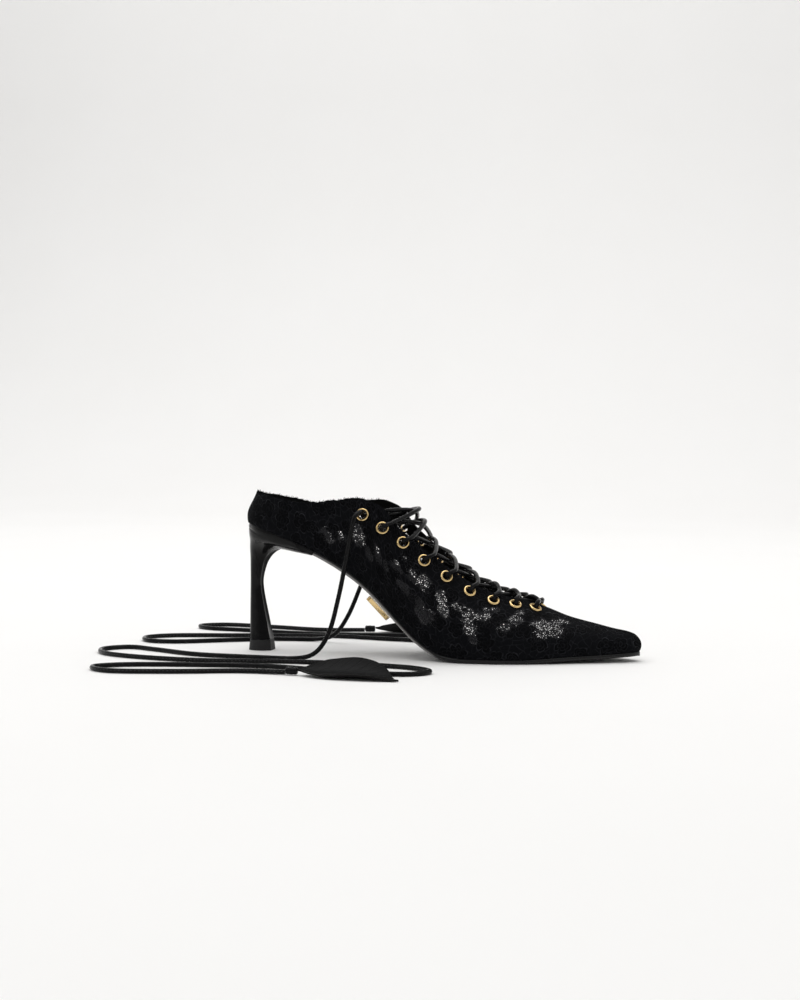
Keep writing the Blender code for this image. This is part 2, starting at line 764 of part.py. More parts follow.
def strand_route(eyelets, side, number):
    """Out of one eyelet, over the throat's edge, across and under the other side's edge
    to the inside of its next eyelet up."""
    radius = CORD_DIAMETER / 2
    start = eyelets[side, number + 1]
    goal = eyelets[-side, number]
    over_ring = EYELET_CROWN + 2.2 * CORD_CLEARANCE + radius
    over_edge = 2 * CORD_CLEARANCE + radius
    depth = UPPER_WALL + CORD_CLEARANCE + radius
    out = [
        start.centre + over_ring * start.normal + radius * start.way,
        start.edge + over_edge * start.edge_normal + 0.2 * radius * start.way,
    ]
    under = [
        goal.edge + 3.2 * radius * goal.way - 1.36 * depth * goal.edge_normal,
        goal.edge - 0.4 * radius * goal.way - 1.95 * depth * goal.edge_normal,
        goal.centre + 0.7 * radius * goal.way - LACE_DEPTH * goal.normal,
    ]
    return [*out, lace_middle(eyelets, number, (out[1] + under[0]) / 2), *under]


def lace_middle(eyelets, number, between):
    """Where the two laces of a crossing meet, lifted off the line between its ends."""
    row = eyelet_rows()[number]
    lower = [eyelets[side, number + 1].centre for side in (LATERAL, MEDIAL)]
    upper = [eyelets[side, number].centre for side in (LATERAL, MEDIAL)]
    lean = radians(row["lean"])
    lift = row["bulge"] * (lower[1] - lower[0]).length
    middle = between + lift * Vector((cos(lean), 0.0, sin(lean)))
    middle.y = (upper[0].y + upper[1].y) / 2
    return middle


def strand_object(name, route, material, steps):
    rows = tube_rows(smooth_route(route, steps), CORD_DIAMETER / 2, STRAND_SIDES)
    return strip_solid(name, rows, material)


def build_crossings(eyelets, material):
    for number in range(1, len(EYELET_TABLE)):
        name = "lace_crossing_%d" % number
        routes = [strand_route(eyelets, side, number) for side in (LATERAL, MEDIAL)]
        strand = strand_object(name, routes[0], material, STRAND_STEPS)
        other = strand_object(name + "_guide", routes[1], material, STRAND_STEPS)
        hide_guide(other)
        join = strand.modifiers.new("join", "BOOLEAN")
        join.operation = "UNION"
        join.object = other


def build_lace_bar(eyelets, material):
    """The hidden stretch between the inside of the two eyelets over the toes."""
    ends = []
    for side in (LATERAL, MEDIAL):
        eyelet = eyelets[side, len(EYELET_TABLE)]
        ends.append(eyelet.centre - LACE_DEPTH * eyelet.normal)
    middle = (ends[0] + ends[1]) / 2
    middle.z -= CORD_CLEARANCE
    strand_object("lace_bar", [ends[0], middle, ends[1]], material, BAR_STEPS)


def tie_points(eyelets, side):
    """Centre points of a tie from just outside its eyelet to its end."""
    eyelet = eyelets[side, 1]
    route = [
        eyelet.centre + (EYELET_CROWN + CORD_CLEARANCE) * eyelet.normal,
        eyelet.centre + CORD_DIAMETER * (TIE_WAY_OUT * eyelet.normal + TIE_WAY_UP * Vector((0.0, 0.0, 1.0))),
    ]
    route += [MM * Vector(point) for point in TIE_ROUTES[side]]
    points = smooth_route(route, TIE_POINTS)
    for point in points:
        point.z = max(point.z, CORD_DIAMETER / 2 + CORD_FLOOR_GAP)
    return points


def build_tie(eyelets, side, material):
    points = tie_points(eyelets, side)
    name = "tie_" + SIDE_NAMES[side]
    curve = bpy.data.curves.new(name, "CURVE")
    curve.dimensions = "3D"
    curve.bevel_depth = CORD_DIAMETER / 2
    curve.bevel_resolution = 2
    curve.use_fill_caps = True
    spline = curve.splines.new("POLY")
    spline.points.add(len(points) - 1)
    for target, point in zip(spline.points, points):
        target.co = (*point, 1.0)
    tie = bpy.data.objects.new(name, curve)
    curve.materials.append(material)
    bpy.context.scene.collection.objects.link(tie)
    return points[-2:]


def build_leaf(side, tie_end, leaf_material, cap_material):
    """The end cap on the tie, and the leaf lying beyond it with one edge curled up."""
    before, end = tie_end
    along = end - before
    along.z = 0.0
    along.normalize()
    across = Vector((-along.y, along.x, 0.0)) * -side
    cap_start = end + GAP * along
    cap_start.z = CAP_DIAMETER / 2 + LEAF_FLOOR_GAP
    cap_end = cap_start + CAP_LENGTH * along
    rows = tube_rows([cap_start, cap_end], CAP_DIAMETER / 2, CAP_SIDES)
    strip_solid("leaf_cap_" + SIDE_NAMES[side], rows, cap_material)
    root = cap_end + GAP * along
    rows = [leaf_row(root, along, across, k / LEAF_STEPS) for k in range(LEAF_STEPS + 1)]
    strip_solid("leaf_" + SIDE_NAMES[side], rows, leaf_material)


def leaf_row(root, along, across, share):
    """One cross-section of a leaf, its lower face and back over its upper face."""
    table = SmoothTable([row[0] for row in LEAF_TABLE], [row[1:] for row in LEAF_TABLE])
    row = dict(zip(LEAF_COLUMNS[1:], table.at(share)))
    centre = root + share * LEAF_LENGTH * along + row["bend"] * LEAF_WIDTH * across
    root_lift = CAP_DIAMETER / 2 * max(0.0, 1 - share / 0.3) ** 2
    lower = []
    upper = []
    for way in (-1.0, -0.5, 0.0, 0.5, 1.0):
        width = row["outer"] if way < 0 else row["inner"]
        curl = LEAF_CURL * width * way ** 2 * (LEAF_OUTER_CURL if way < 0 else 1.0)
        thickness = LEAF_THICKNESS * (LEAF_EDGE if abs(way) == 1.0 else 1.0)
        point = centre + way * width * LEAF_WIDTH / 2 * across
        point.z = LEAF_FLOOR_GAP + root_lift + curl
        lower.append(point)
        upper.append(point + Vector((0.0, 0.0, thickness)))
    return lower + upper[::-1]


def build():
    remove_all_objects()
    lace_cloth = make_material("black_lace_cloth", (0.012, 0.013, 0.017), 0.85)
    black_gloss = make_material("black_gloss", (0.006, 0.006, 0.007), 0.12)
    black_sole = make_material("black_sole_leather", (0.012, 0.012, 0.013), 0.3)
    rubber = make_material("dark_rubber", (0.02, 0.02, 0.02), 0.6)
    lining = make_material("black_lining", (0.015, 0.014, 0.014), 0.7)
    gold = make_material("pale_gold", (0.83, 0.64, 0.33), 0.2, 1.0)
    cord = make_material("black_cord", (0.01, 0.01, 0.011), 0.35)
    leaf = make_material("black_leaf_leather", (0.01, 0.01, 0.01), 0.6)

    last = Last()
    eyelets = eyelet_frames(last)
    build_upper(last, lace_cloth, eyelets)
    build_insole(last, lining)
    build_outsole(last, black_sole)
    build_sole_plate(last, gold)
    build_heel(last, black_gloss)
    build_top_piece(last, rubber)
    build_eyelets(eyelets, gold)
    build_crossings(eyelets, cord)
    build_lace_bar(eyelets, cord)
    for side in (LATERAL, MEDIAL):
        tie_end = build_tie(eyelets, side, cord)
        build_leaf(side, tie_end, leaf, cord)


build()
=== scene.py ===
"""Looks of the lace-up court shoe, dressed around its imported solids.

Metres, +Z up, +X to the toe. The outer (lateral) side, at -Y, faces the camera. The
shapes follow the same last, eyelets and routes as the solids, in finer steps.
"""

import bpy
import bmesh
import random
from bisect import bisect_right
from collections import namedtuple
from itertools import chain
from math import atan, ceil, cos, exp, hypot, pi, radians, sin, tau
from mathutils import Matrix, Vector


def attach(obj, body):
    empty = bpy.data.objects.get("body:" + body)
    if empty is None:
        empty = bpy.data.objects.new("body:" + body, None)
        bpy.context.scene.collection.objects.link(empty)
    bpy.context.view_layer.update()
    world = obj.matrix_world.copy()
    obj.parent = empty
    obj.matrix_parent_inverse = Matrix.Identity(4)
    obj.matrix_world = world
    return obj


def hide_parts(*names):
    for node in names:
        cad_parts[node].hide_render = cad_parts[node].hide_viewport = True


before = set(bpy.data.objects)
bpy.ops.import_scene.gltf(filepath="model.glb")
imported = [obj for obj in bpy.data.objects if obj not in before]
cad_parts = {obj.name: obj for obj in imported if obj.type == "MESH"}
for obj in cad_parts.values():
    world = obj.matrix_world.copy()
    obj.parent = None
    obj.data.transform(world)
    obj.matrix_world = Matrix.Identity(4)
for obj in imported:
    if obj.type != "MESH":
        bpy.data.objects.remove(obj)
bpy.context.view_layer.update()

BODY = "root"
MM = 0.001

LATERAL = -1
MEDIAL = 1
SIDES = (LATERAL, MEDIAL)
SIDE_NAMES = {LATERAL: "lateral", MEDIAL: "medial"}
UP = Vector((0.0, 0.0, 1.0))

# Camera, as the photograph was taken
CAMERA_TURN = radians(14)
CAMERA_DISTANCE = 1.0
CAMERA_SHIFT = -0.0242
CAMERA_HEIGHT = 0.133
PICTURE_HEIGHT = 1000
FOCAL_PIXELS = 1624
HORIZON_OFFSET = 60

# Sizes of the solids
FEATHER_LENGTH = 0.2466
BALL_WIDTH = 0.0702
HEEL_RISE = 0.0794
WALL_HEIGHT = 0.058
MEDIAL_TOP_DROP = 0.10
HANDLE = 0.42
GAP = 0.0003
UPPER_WALL = 0.0014
SOLE_THICKNESS = 0.0025
SOLE_BEVEL = 0.0009
WAIST_BEVEL = 0.0012
SOLE_TOP_EDGE = 0.0003
WAIST_CROWN = 0.0030
CROWN_SLOPE = 0.6
OUTSOLE_END = 0.997
TOP_PIECE_HEIGHT = 0.0067
TOP_PIECE_SPREAD = 1.10
LIP_ALONG = 0.205
HEEL_REAR_ROUND = 2.4
SEAT_INSET = 0.0009
RING_CROWDING = 1.6
BREAST_HOLLOW = 0.22
EYELET_DIAMETER = 0.0080
EYELET_HOLE = 0.0046
EYELET_BARREL = 0.0050
EYELET_CROWN = 0.0013
EYELET_TAIL = 0.0007
CORD_DIAMETER = 0.0028
CORD_CLEARANCE = 0.0004
CORD_FLOOR_GAP = 0.0001
TIE_WAY_OUT = 2.0
TIE_WAY_UP = 0.35
LEAF_LENGTH = 0.062
LEAF_WIDTH = 0.029
LEAF_THICKNESS = 0.0012
LEAF_EDGE = 0.55
LEAF_CURL = 0.0085
LEAF_OUTER_CURL = 0.25
LEAF_WAVE = 0.0004
LEAF_GROOVE = 0.00022
LEAF_FLOOR_GAP = 0.0004
CAP_DIAMETER = 0.0044
CAP_LENGTH = 0.0070
PLATE_LENGTH = 0.0183
PLATE_WIDTH = 0.0080
PLATE_THICKNESS = 0.0028
PLATE_ALONG = 0.380
PLATE_ACROSS = -0.0195
PLATE_CORNER = 0.0024
PLATE_END = 0.0040

X_BACK = -FEATHER_LENGTH / 2
TREAD_TO_FEATHER = SOLE_THICKNESS + GAP
HEEL_BASE = TOP_PIECE_HEIGHT + GAP
LACE_DEPTH = UPPER_WALL + EYELET_TAIL + GAP + CORD_DIAMETER / 2

# Visible thickness of the lace cloth with its backing, and its cut edge
CLOTH_THICKNESS = 0.0009
EDGE_WAVE = 0.00022
FRINGE_THREADS = 420
FRINGE_LENGTH = 0.0021
FRINGE_END = 0.36
FRINGE_ROOT = 0.0005

# Mesh steps, as lengths or counts
CLOTH_STEP = 0.0014
CLOTH_ROWS = 36
SOLE_STEP = 0.0025
CORD_STEP = 0.0010
TIE_STEP = 0.0022
CORD_SIDES = 14
CAP_SIDES = 20
EYELET_SIDES = 44
EYELET_ROLL_STEPS = 12
HOLE_SIDES = 32
LEAF_STEPS = 60
LEAF_SIDE_STEPS = 10
SOLE_EDGE_STEPS = 6
SOLE_BELLY_STEPS = 16
PLATE_STEPS = 48
HEEL_STEPS = 60
RING_SIDE_STEPS = 30
RING_FRONT_STEPS = 20
WALL_STEPS = 12
MERGE_DISTANCE = 0.000004

# Floor and the wall that it curves up into
FLOOR_REACH = 2.6
WALL_DISTANCE = 1.6
WALL_ROUND = 0.9
WALL_TOP = 3.0

# Sheer patches of the lace on the outer side, and closed flowers over them: distance
# from the back along the side, height over the sole's edge and radius, in millimetres
NET_PATCHES = (
    (77, 15, 4.0), (87, 19, 3.0), (100, 28, 5.0), (110, 23, 3.0), (118, 29, 4.0), (128, 28, 3.0),
    (136, 35, 3.0), (141, 28, 3.0), (140, 37, 3.0), (147, 28, 3.0), (151, 40, 4.0), (145, 46, 2.0),
    (160, 40, 4.0), (156, 25, 4.0), (157, 19, 4.0), (164, 22, 3.5), (171, 36, 3.5), (173, 28, 3.5),
    (181, 31, 3.0), (186, 27, 4.0), (188, 19, 3.5), (191, 12, 2.5), (197, 32, 3.0), (196, 26, 3.5),
    (201, 33, 2.5), (208, 20, 4.0), (213, 25, 3.5), (216, 32, 2.5), (226, 24, 4.5), (228, 16, 4.0),
    (233, 20, 3.0), (235, 27, 4.0), (238, 17, 4.0), (242, 28, 3.0),
)
FLOWERS = ((91, 14, 5.0), (125, 15, 6.0), (163, 32, 5.0), (203, 27, 3.0), (150, 34, 3.0),
           (110, 31, 2.5), (220, 26, 2.5))
PATCH_SPREAD = 1.5
FLOWER_SPREAD = 1.3
# On the inner side the patches are larger and lie further back and lower, in a band of
# half open net: its start, end, lower edge and openness
INNER_PATCH_GROWTH = 2.2
INNER_PATCH_SHIFT = (12, 4)
INNER_NET_BAND = (84, 245, 12, 0.46)
# Height up to which each side is open, as a share of the side
NET_TOP = {LATERAL: 0.97, MEDIAL: 0.80}
NET_TOP_FADE = 0.08

# Soft hollows: start, end, half width and depth, in millimetres on the same map
CREASES = ((52, 23, 84, 34, 5.5, 1.3), (100, 12, 128, 26, 4.0, 0.35), (60, 8, 96, 12, 4.0, 0.3),
           (150, 8, 170, 30, 5.0, 0.3), (14, 6, 34, 16, 4.0, 0.3))


def named_rows(columns, *rows):
    """Rows of numbers whose columns have names."""
    kind = namedtuple("Row", columns)
    return [kind(*row) for row in rows]


# Shares of the feather length, ball width, heel rise and wall height, and degrees
LAST_TABLE = named_rows(
    "along lateral medial rise top_along middle gap height flare slant",
    (0.000, 0.000, 0.000, 1.000, 0.024, 0.000, 0.000, 0.319, 10, 22),
    (0.011, 0.154, 0.154, 0.992, 0.034, 0.000, 0.142, 0.321, 12, 20),
    (0.043, 0.282, 0.282, 0.965, 0.063, 0.000, 0.251, 0.343, 14, 17),
    (0.100, 0.353, 0.353, 0.908, 0.112, 0.000, 0.328, 0.383, 15, 14),
    (0.181, 0.385, 0.377, 0.816, 0.185, 0.000, 0.377, 0.464, 15, 12),
    (0.254, 0.382, 0.356, 0.703, 0.262, 0.000, 0.396, 0.655, 14, 14),
    (0.311, 0.377, 0.336, 0.589, 0.319, 0.000, 0.393, 0.834, 14, 16),
    (0.347, 0.379, 0.325, 0.499, 0.355, 0.000, 0.379, 0.917, 14, 20),
    (0.384, 0.385, 0.319, 0.388, 0.382, 0.000, 0.362, 1.003, 14, 24),
    (0.424, 0.399, 0.322, 0.259, 0.414, 0.000, 0.350, 1.007, 14, 28),
    (0.473, 0.430, 0.342, 0.120, 0.471, 0.000, 0.322, 0.986, 14, 34),
    (0.530, 0.473, 0.392, 0.024, 0.530, 0.000, 0.282, 0.919, 13, 42),
    (0.594, 0.501, 0.453, 0.000, 0.590, 0.007, 0.231, 0.772, 12, 50),
    (0.659, 0.493, 0.496, 0.000, 0.651, 0.014, 0.171, 0.648, 11, 58),
    (0.716, 0.452, 0.490, 0.000, 0.708, 0.021, 0.113, 0.586, 11, 66),
    (0.773, 0.390, 0.450, 0.008, 0.771, 0.028, 0.000, 0.483, 12, 73),
    (0.838, 0.302, 0.376, 0.021, 0.830, 0.034, 0.000, 0.371, 12, 74),
    (0.903, 0.211, 0.279, 0.030, 0.891, 0.034, 0.000, 0.295, 15, 72),
    (0.953, 0.131, 0.191, 0.038, 0.939, 0.031, 0.000, 0.236, 20, 68),
    (0.985, 0.066, 0.120, 0.043, 0.970, 0.028, 0.000, 0.205, 25, 62),
    (1.000, -0.026, 0.026, 0.045, 0.986, 0.026, 0.000, 0.179, 28, 56),
)

# Place along the shoe, inset from the edge in eyelet diameters, heading of the row and, for
# the crossing behind each eyelet, its bulge as a share of the throat's width and its lean
EYELET_TABLE = named_rows(
    "along inset heading bulge lean",
    (0.334, 1.22, 72, 0.00, 0),
    (0.384, 1.50, 58, 0.17, 22),
    (0.433, 0.82, 50, 0.13, 35),
    (0.485, 0.84, 42, 0.04, 48),
    (0.539, 0.84, 34, 0.02, 50),
    (0.595, 0.92, 26, 0.03, 56),
    (0.651, 0.94, 18, 0.05, 62),
    (0.703, 0.94, 13, 0.06, 68),
    (0.748, 0.88, 13, 0.08, 72),
)
EyeletFrame = namedtuple("EyeletFrame", "centre normal edge edge_normal way")

# Rings of the heel from its foot up, as shares of the seat's length, the heel's rise and the
# seat's half width, and how square, how long rounded at the back and how crowned they are
HEEL_TABLE = named_rows(
    "back front back_rise front_rise half_width corner rounding crown",
    (0.010, 0.292, 0.000, 0.000, 0.235, 0.62, 0.55, 0.0),
    (0.012, 0.232, 0.190, 0.190, 0.205, 0.62, 0.55, 0.0),
    (0.019, 0.162, 0.480, 0.480, 0.178, 0.62, 0.55, 0.0),
    (0.022, 0.194, 0.670, 0.610, 0.240, 0.62, 0.55, 0.0),
    (0.024, 0.262, 0.770, 0.705, 0.370, 0.64, 0.58, 0.0),
    (0.034, 0.366, 0.850, 0.757, 0.540, 0.70, 0.62, 0.1),
    (0.030, 0.514, 0.905, 0.777, 0.720, 0.80, 0.68, 0.3),
    (0.026, 0.742, 0.945, 0.760, 0.870, 0.92, 0.80, 0.6),
)

# Widths on both sides of the middle line and its sideways bend, as shares of the leaf's width
LEAF_TABLE = named_rows(
    "along inner outer bend",
    (0.00, 0.05, 0.05, 0.00),
    (0.10, 0.45, 0.42, 0.02),
    (0.25, 0.88, 0.80, 0.05),
    (0.45, 1.00, 1.00, 0.06),
    (0.65, 0.84, 0.92, 0.02),
    (0.82, 0.52, 0.62, -0.10),
    (1.00, 0.02, 0.02, -0.34),
)

# Route of each tie in metres, from the top eyelet to its leaf
TIE_ROUTES = {
    LATERAL: (
        (-0.0426, -0.0416, 0.0869), (-0.0450, -0.0422, 0.0760), (-0.0485, -0.0420, 0.0580),
        (-0.0530, -0.0418, 0.0370), (-0.0585, -0.0428, 0.0170), (-0.0670, -0.0455, 0.0046),
        (-0.0820, -0.0475, 0.0015), (-0.1100, -0.0460, 0.0015), (-0.1440, -0.0420, 0.0015),
        (-0.1760, -0.0270, 0.0015), (-0.1970, -0.0190, 0.0015), (-0.2100, -0.0330, 0.0015),
        (-0.1980, -0.0520, 0.0015), (-0.1640, -0.0640, 0.0015), (-0.1220, -0.0670, 0.0015),
        (-0.0800, -0.0600, 0.0015), (-0.0380, -0.0610, 0.0015), (-0.0020, -0.0680, 0.0015),
        (0.0130, -0.0820, 0.0015), (-0.0010, -0.0950, 0.0015), (-0.0420, -0.0910, 0.0015),
        (-0.0840, -0.0820, 0.0015), (-0.1260, -0.0860, 0.0015), (-0.1640, -0.0940, 0.0015),
        (-0.1820, -0.1080, 0.0015), (-0.1660, -0.1210, 0.0015), (-0.1300, -0.1150, 0.0015),
        (-0.0940, -0.1040, 0.0015), (-0.0660, -0.1040, 0.0017),
    ),
    MEDIAL: (
        (-0.0430, 0.0418, 0.0843), (-0.0480, 0.0418, 0.0760), (-0.0545, 0.0415, 0.0580),
        (-0.0620, 0.0410, 0.0370), (-0.0710, 0.0415, 0.0170), (-0.0815, 0.0435, 0.0046),
        (-0.0970, 0.0460, 0.0015), (-0.1240, 0.0420, 0.0015), (-0.1520, 0.0280, 0.0015),
        (-0.1790, 0.0140, 0.0015), (-0.1990, 0.0150, 0.0015), (-0.2070, 0.0310, 0.0015),
        (-0.1930, 0.0450, 0.0015), (-0.1580, 0.0540, 0.0015), (-0.1200, 0.0630, 0.0015),
        (-0.0820, 0.0670, 0.0015), (-0.0440, 0.0600, 0.0015), (-0.0080, 0.0580, 0.0015),
        (0.0120, 0.0680, 0.0015), (0.0030, 0.0820, 0.0015), (-0.0360, 0.0840, 0.0015),
        (-0.0760, 0.0770, 0.0015), (-0.1160, 0.0770, 0.0015), (-0.1540, 0.0850, 0.0015),
        (-0.1840, 0.0900, 0.0015), (-0.1960, 0.1030, 0.0015), (-0.1790, 0.1140, 0.0015),
        (-0.1420, 0.1080, 0.0015), (-0.1060, 0.1000, 0.0015), (-0.0760, 0.1040, 0.0017),
    ),
}


# Camera

def add_object(name, data):
    item = bpy.data.objects.new(name, data)
    bpy.context.scene.collection.objects.link(item)
    return item


def make_camera():
    camera = bpy.data.cameras.new("camera")
    tilt = atan(HORIZON_OFFSET / FOCAL_PIXELS)
    camera.sensor_fit = "VERTICAL"
    camera.sensor_height = 36.0
    camera.lens = FOCAL_PIXELS * camera.sensor_height / PICTURE_HEIGHT * cos(tilt)
    camera.clip_start = 0.05
    camera.clip_end = 20.0
    right = Vector((cos(CAMERA_TURN), sin(CAMERA_TURN), 0.0))
    ahead = Vector((-sin(CAMERA_TURN), cos(CAMERA_TURN), 0.0))
    item = add_object("camera", camera)
    item.location = -CAMERA_DISTANCE * ahead + CAMERA_SHIFT * right
    item.location.z = CAMERA_HEIGHT
    item.rotation_euler = (pi / 2 - tilt, 0.0, CAMERA_TURN)
    bpy.context.scene.camera = item


# Curves through table rows

class SmoothTable:
    """Rows of numbers joined by curves that never overshoot a row."""

    def __init__(self, knots, rows):
        self.knots = knots
        self.rows = rows
        self.slopes = [self.column_slopes([row[k] for row in rows]) for k in range(len(rows[0]))]

    def column_slopes(self, values):
        slopes = [0.0] * len(values)
        for k in range(1, len(values) - 1):
            before = self.knots[k] - self.knots[k - 1]
            after = self.knots[k + 1] - self.knots[k]
            rise_before = (values[k] - values[k - 1]) / before
            rise_after = (values[k + 1] - values[k]) / after
            if rise_before * rise_after > 0:
                weight_before = 2 * after + before
                weight_after = after + 2 * before
                total = weight_before / rise_before + weight_after / rise_after
                slopes[k] = (weight_before + weight_after) / total
        return slopes

    def at(self, s):
        k = min(max(bisect_right(self.knots, s) - 1, 0), len(self.knots) - 2)
        step = self.knots[k + 1] - self.knots[k]
        t = (s - self.knots[k]) / step
        start = 1 - 3 * t ** 2 + 2 * t ** 3
        leave = (t - 2 * t ** 2 + t ** 3) * step
        arrive = (t ** 3 - t ** 2) * step
        return [start * a + leave * column[k] + (1 - start) * b + arrive * column[k + 1]
                for a, b, column in zip(self.rows[k], self.rows[k + 1], self.slopes)]


def smooth_route(points, step):
    """Points about a step apart on a smooth curve through the given ones."""
    points = [Vector(point) for point in points]
    ends = [2 * points[0] - points[1]] + points + [2 * points[-1] - points[-2]]
    fine = []
    for k in range(1, len(ends) - 2):
        p0, p1, p2, p3 = ends[k - 1:k + 3]
        for j in range(16):
            t = j / 16
            fine.append(0.5 * (2 * p1 + (p2 - p0) * t + (2 * p0 - 5 * p1 + 4 * p2 - p3) * t ** 2
                               + (3 * p1 - p0 - 3 * p2 + p3) * t ** 3))
    fine.append(points[-1])
    lengths = [0.0]
    for before, after in zip(fine, fine[1:]):
        lengths.append(lengths[-1] + (after - before).length)
    count = max(4, round(lengths[-1] / step))
    result = []
    for k in range(count + 1):
        wanted = lengths[-1] * k / count
        j = min(max(bisect_right(lengths, wanted) - 1, 0), len(fine) - 2)
        t = (wanted - lengths[j]) / (lengths[j + 1] - lengths[j])
        result.append(fine[j].lerp(fine[j + 1], min(t, 1.0)))
    return result


# The last's surface

def last_row(row, side):
    """One row of the table for one side, in metres and radians."""
    half = row.lateral if side == LATERAL else row.medial
    feather_z = TREAD_TO_FEATHER + row.rise * HEEL_RISE
    return (
        X_BACK + row.along * FEATHER_LENGTH,
        side * half * BALL_WIDTH,
        feather_z,
        X_BACK + row.top_along * FEATHER_LENGTH,
        row.middle * BALL_WIDTH,
        side * row.gap * BALL_WIDTH,
        feather_z + row.height * WALL_HEIGHT,
        radians(row.flare),
        radians(row.slant),
    )


def side_knots():
    """Distance along the last's edge from the back, the mean of both sides."""
    knots = [0.0]
    for before, after in zip(LAST_TABLE, LAST_TABLE[1:]):
        steps = []
        for side in SIDES:
            a = last_row(before, side)
            b = last_row(after, side)
            steps.append(hypot(b[0] - a[0], b[1] - a[1], b[2] - a[2]))
        knots.append(knots[-1] + sum(steps) / 2)
    return knots


class Last:
    """The shoe's outer surface. The place p runs from 0 at the back to 1 at the toe on
    either side, and u from 0 at the feather edge to 1 at the top edge."""

    def __init__(self):
        knots = side_knots()
        self.reach = knots[-1]
        lateral, medial = [[last_row(row, side) for row in LAST_TABLE] for side in SIDES]
        ring = lateral[::-1] + medial[1:]
        ring_knots = [-knot for knot in knots[::-1]] + knots[1:]
        toe_step = knots[-1] - knots[-2]
        ring = [medial[-2]] + ring + [lateral[-2]]
        ring_knots = [-self.reach - toe_step] + ring_knots + [self.reach + toe_step]
        self.table = SmoothTable(ring_knots, ring)

    def values(self, side, p):
        return self.table.at(side * p * self.reach)

    def feather(self, side, p):
        return Vector(self.values(side, p)[:3])

    def out(self, side, p):
        """Level direction away from the shoe, square to the feather edge."""
        s = side * p * self.reach
        step = 0.0004
        before = Vector(self.table.at(s - step)[:2])
        after = Vector(self.table.at(s + step)[:2])
        along = (after - before).normalized()
        return Vector((-along.y, along.x, 0.0))

    def section(self, side, p):
        """The four corners of the curve that a section of the side follows."""
        values = self.values(side, p)
        feather = Vector(values[:3])
        top_x, middle_y, gap_y, top_z, flare, slant = values[3:]
        medial_drop = MEDIAL_TOP_DROP * max(gap_y, 0.0)
        top = Vector((top_x, middle_y + gap_y, top_z - medial_drop))
        reach = HANDLE * (top - feather).length
        out = self.out(side, p)
        lower = feather + reach * (sin(flare) * out + cos(flare) * UP)
        upper = top + reach * (sin(slant) * out - cos(slant) * UP)
        return feather, lower, upper, top

    def point(self, side, p, u):
        return on_curve(self.section(side, p), u)

    def frame(self, side, p, u):
        """Point, outward normal and the direction towards the top edge."""
        step = 0.004
        here = self.point(side, p, u)
        upward = self.point(side, p, min(u + step, 1.0)) - self.point(side, p, u - step)
        ahead = self.point(side, p + step, u) - self.point(side, p - step, u)
        normal = upward.cross(ahead) * side
        return here, normal.normalized(), upward.normalized()

    def below_edge(self, side, p, distance):
        """The u of the point that lies a distance down the side from the top edge."""
        corners = self.section(side, p)
        u = 1.0
        walked = 0.0
        last_point = on_curve(corners, u)
        while walked < distance:
            u -= 0.005
            here = on_curve(corners, u)
            walked += (here - last_point).length
            last_point = here
        return u

    def place_where(self, amount):
        """The p at which the amount, rising with p, reaches zero."""
        low, high = 0.0, 1.0
        for _ in range(30):
            middle = (low + high) / 2
            if amount(middle) < 0:
                low = middle
            else:
                high = middle
        return (low + high) / 2

    def place_along(self, share):
        """The p at which the sole's middle line is at a share of the shoe's length."""
        x = X_BACK + share * FEATHER_LENGTH
        return self.place_where(lambda p: self.middle(p).x - x)

    def down(self, p):
        """Square to the feather line as seen from the side, downwards, and its slope."""
        step = 0.004
        before = self.middle(p - step)
        after = self.middle(p + step)
        along = Vector((after.x - before.x, 0.0, after.z - before.z)).normalized()
        return Vector((along.z, 0.0, -along.x)), abs(along.z / along.x)

    def middle(self, p):
        return (self.feather(LATERAL, p) + self.feather(MEDIAL, p)) / 2


def on_curve(corners, u):
    v = 1 - u
    a, b, c, d = corners
    return v ** 3 * a + 3 * v * v * u * b + 3 * v * u * u * c + u ** 3 * d


def even_places(last, start, end, step):
    count = max(2, ceil((end - start) * last.reach / step))
    return [start + (end - start) * k / count for k in range(count + 1)]


def eyelet_frames(last):
    """Where each eyelet sits, and where a lace from it crosses the throat's edge."""
    frames = {}
    for side in SIDES:
        for number, row in enumerate(EYELET_TABLE, start=1):
            distance = row.inset * EYELET_DIAMETER
            x = X_BACK + row.along * FEATHER_LENGTH
            p = last.place_where(
                lambda p: last.point(side, p, last.below_edge(side, p, distance)).x - x)
            centre, normal, upward = last.frame(side, p, last.below_edge(side, p, distance))
            ahead = normal.cross(upward) * side
            heading = radians(row.heading)
            beside = cos(heading) * ahead - sin(heading) * upward
            edge_p = last.place_where(lambda p: (last.point(side, p, 1.0) - centre).dot(beside))
            edge, edge_normal, _ = last.frame(side, edge_p, 1.0)
            way = edge - centre
            way = (way - way.dot(normal) * normal).normalized()
            frames[side, number] = EyeletFrame(centre, normal, edge, edge_normal, way)
    return frames


# Meshes

def mesh_from(name, points, faces):
    mesh = bpy.data.meshes.new(name)
    mesh.from_pydata([tuple(point) for point in points], [], faces)
    mesh.update()
    return mesh


def add_vectors(mesh, name, vectors):
    """Stores one vector at each point of the mesh, for its material."""
    attribute = mesh.attributes.new(name, "FLOAT_VECTOR", "POINT")
    attribute.data.foreach_set("vector", list(chain(*vectors)))


def tidy_mesh(mesh):
    """Merges points that fall together and turns every face outwards."""
    shape = bmesh.new()
    shape.from_mesh(mesh)
    bmesh.ops.remove_doubles(shape, verts=shape.verts, dist=MERGE_DISTANCE)
    bmesh.ops.recalc_face_normals(shape, faces=shape.faces)
    shape.to_mesh(mesh)
    shape.free()


def smooth(mesh, angle):
    """Shades the mesh smooth, apart from edges sharper than the angle in degrees."""
    mesh.shade_smooth()
    mesh.set_sharp_from_angle(angle=radians(angle))


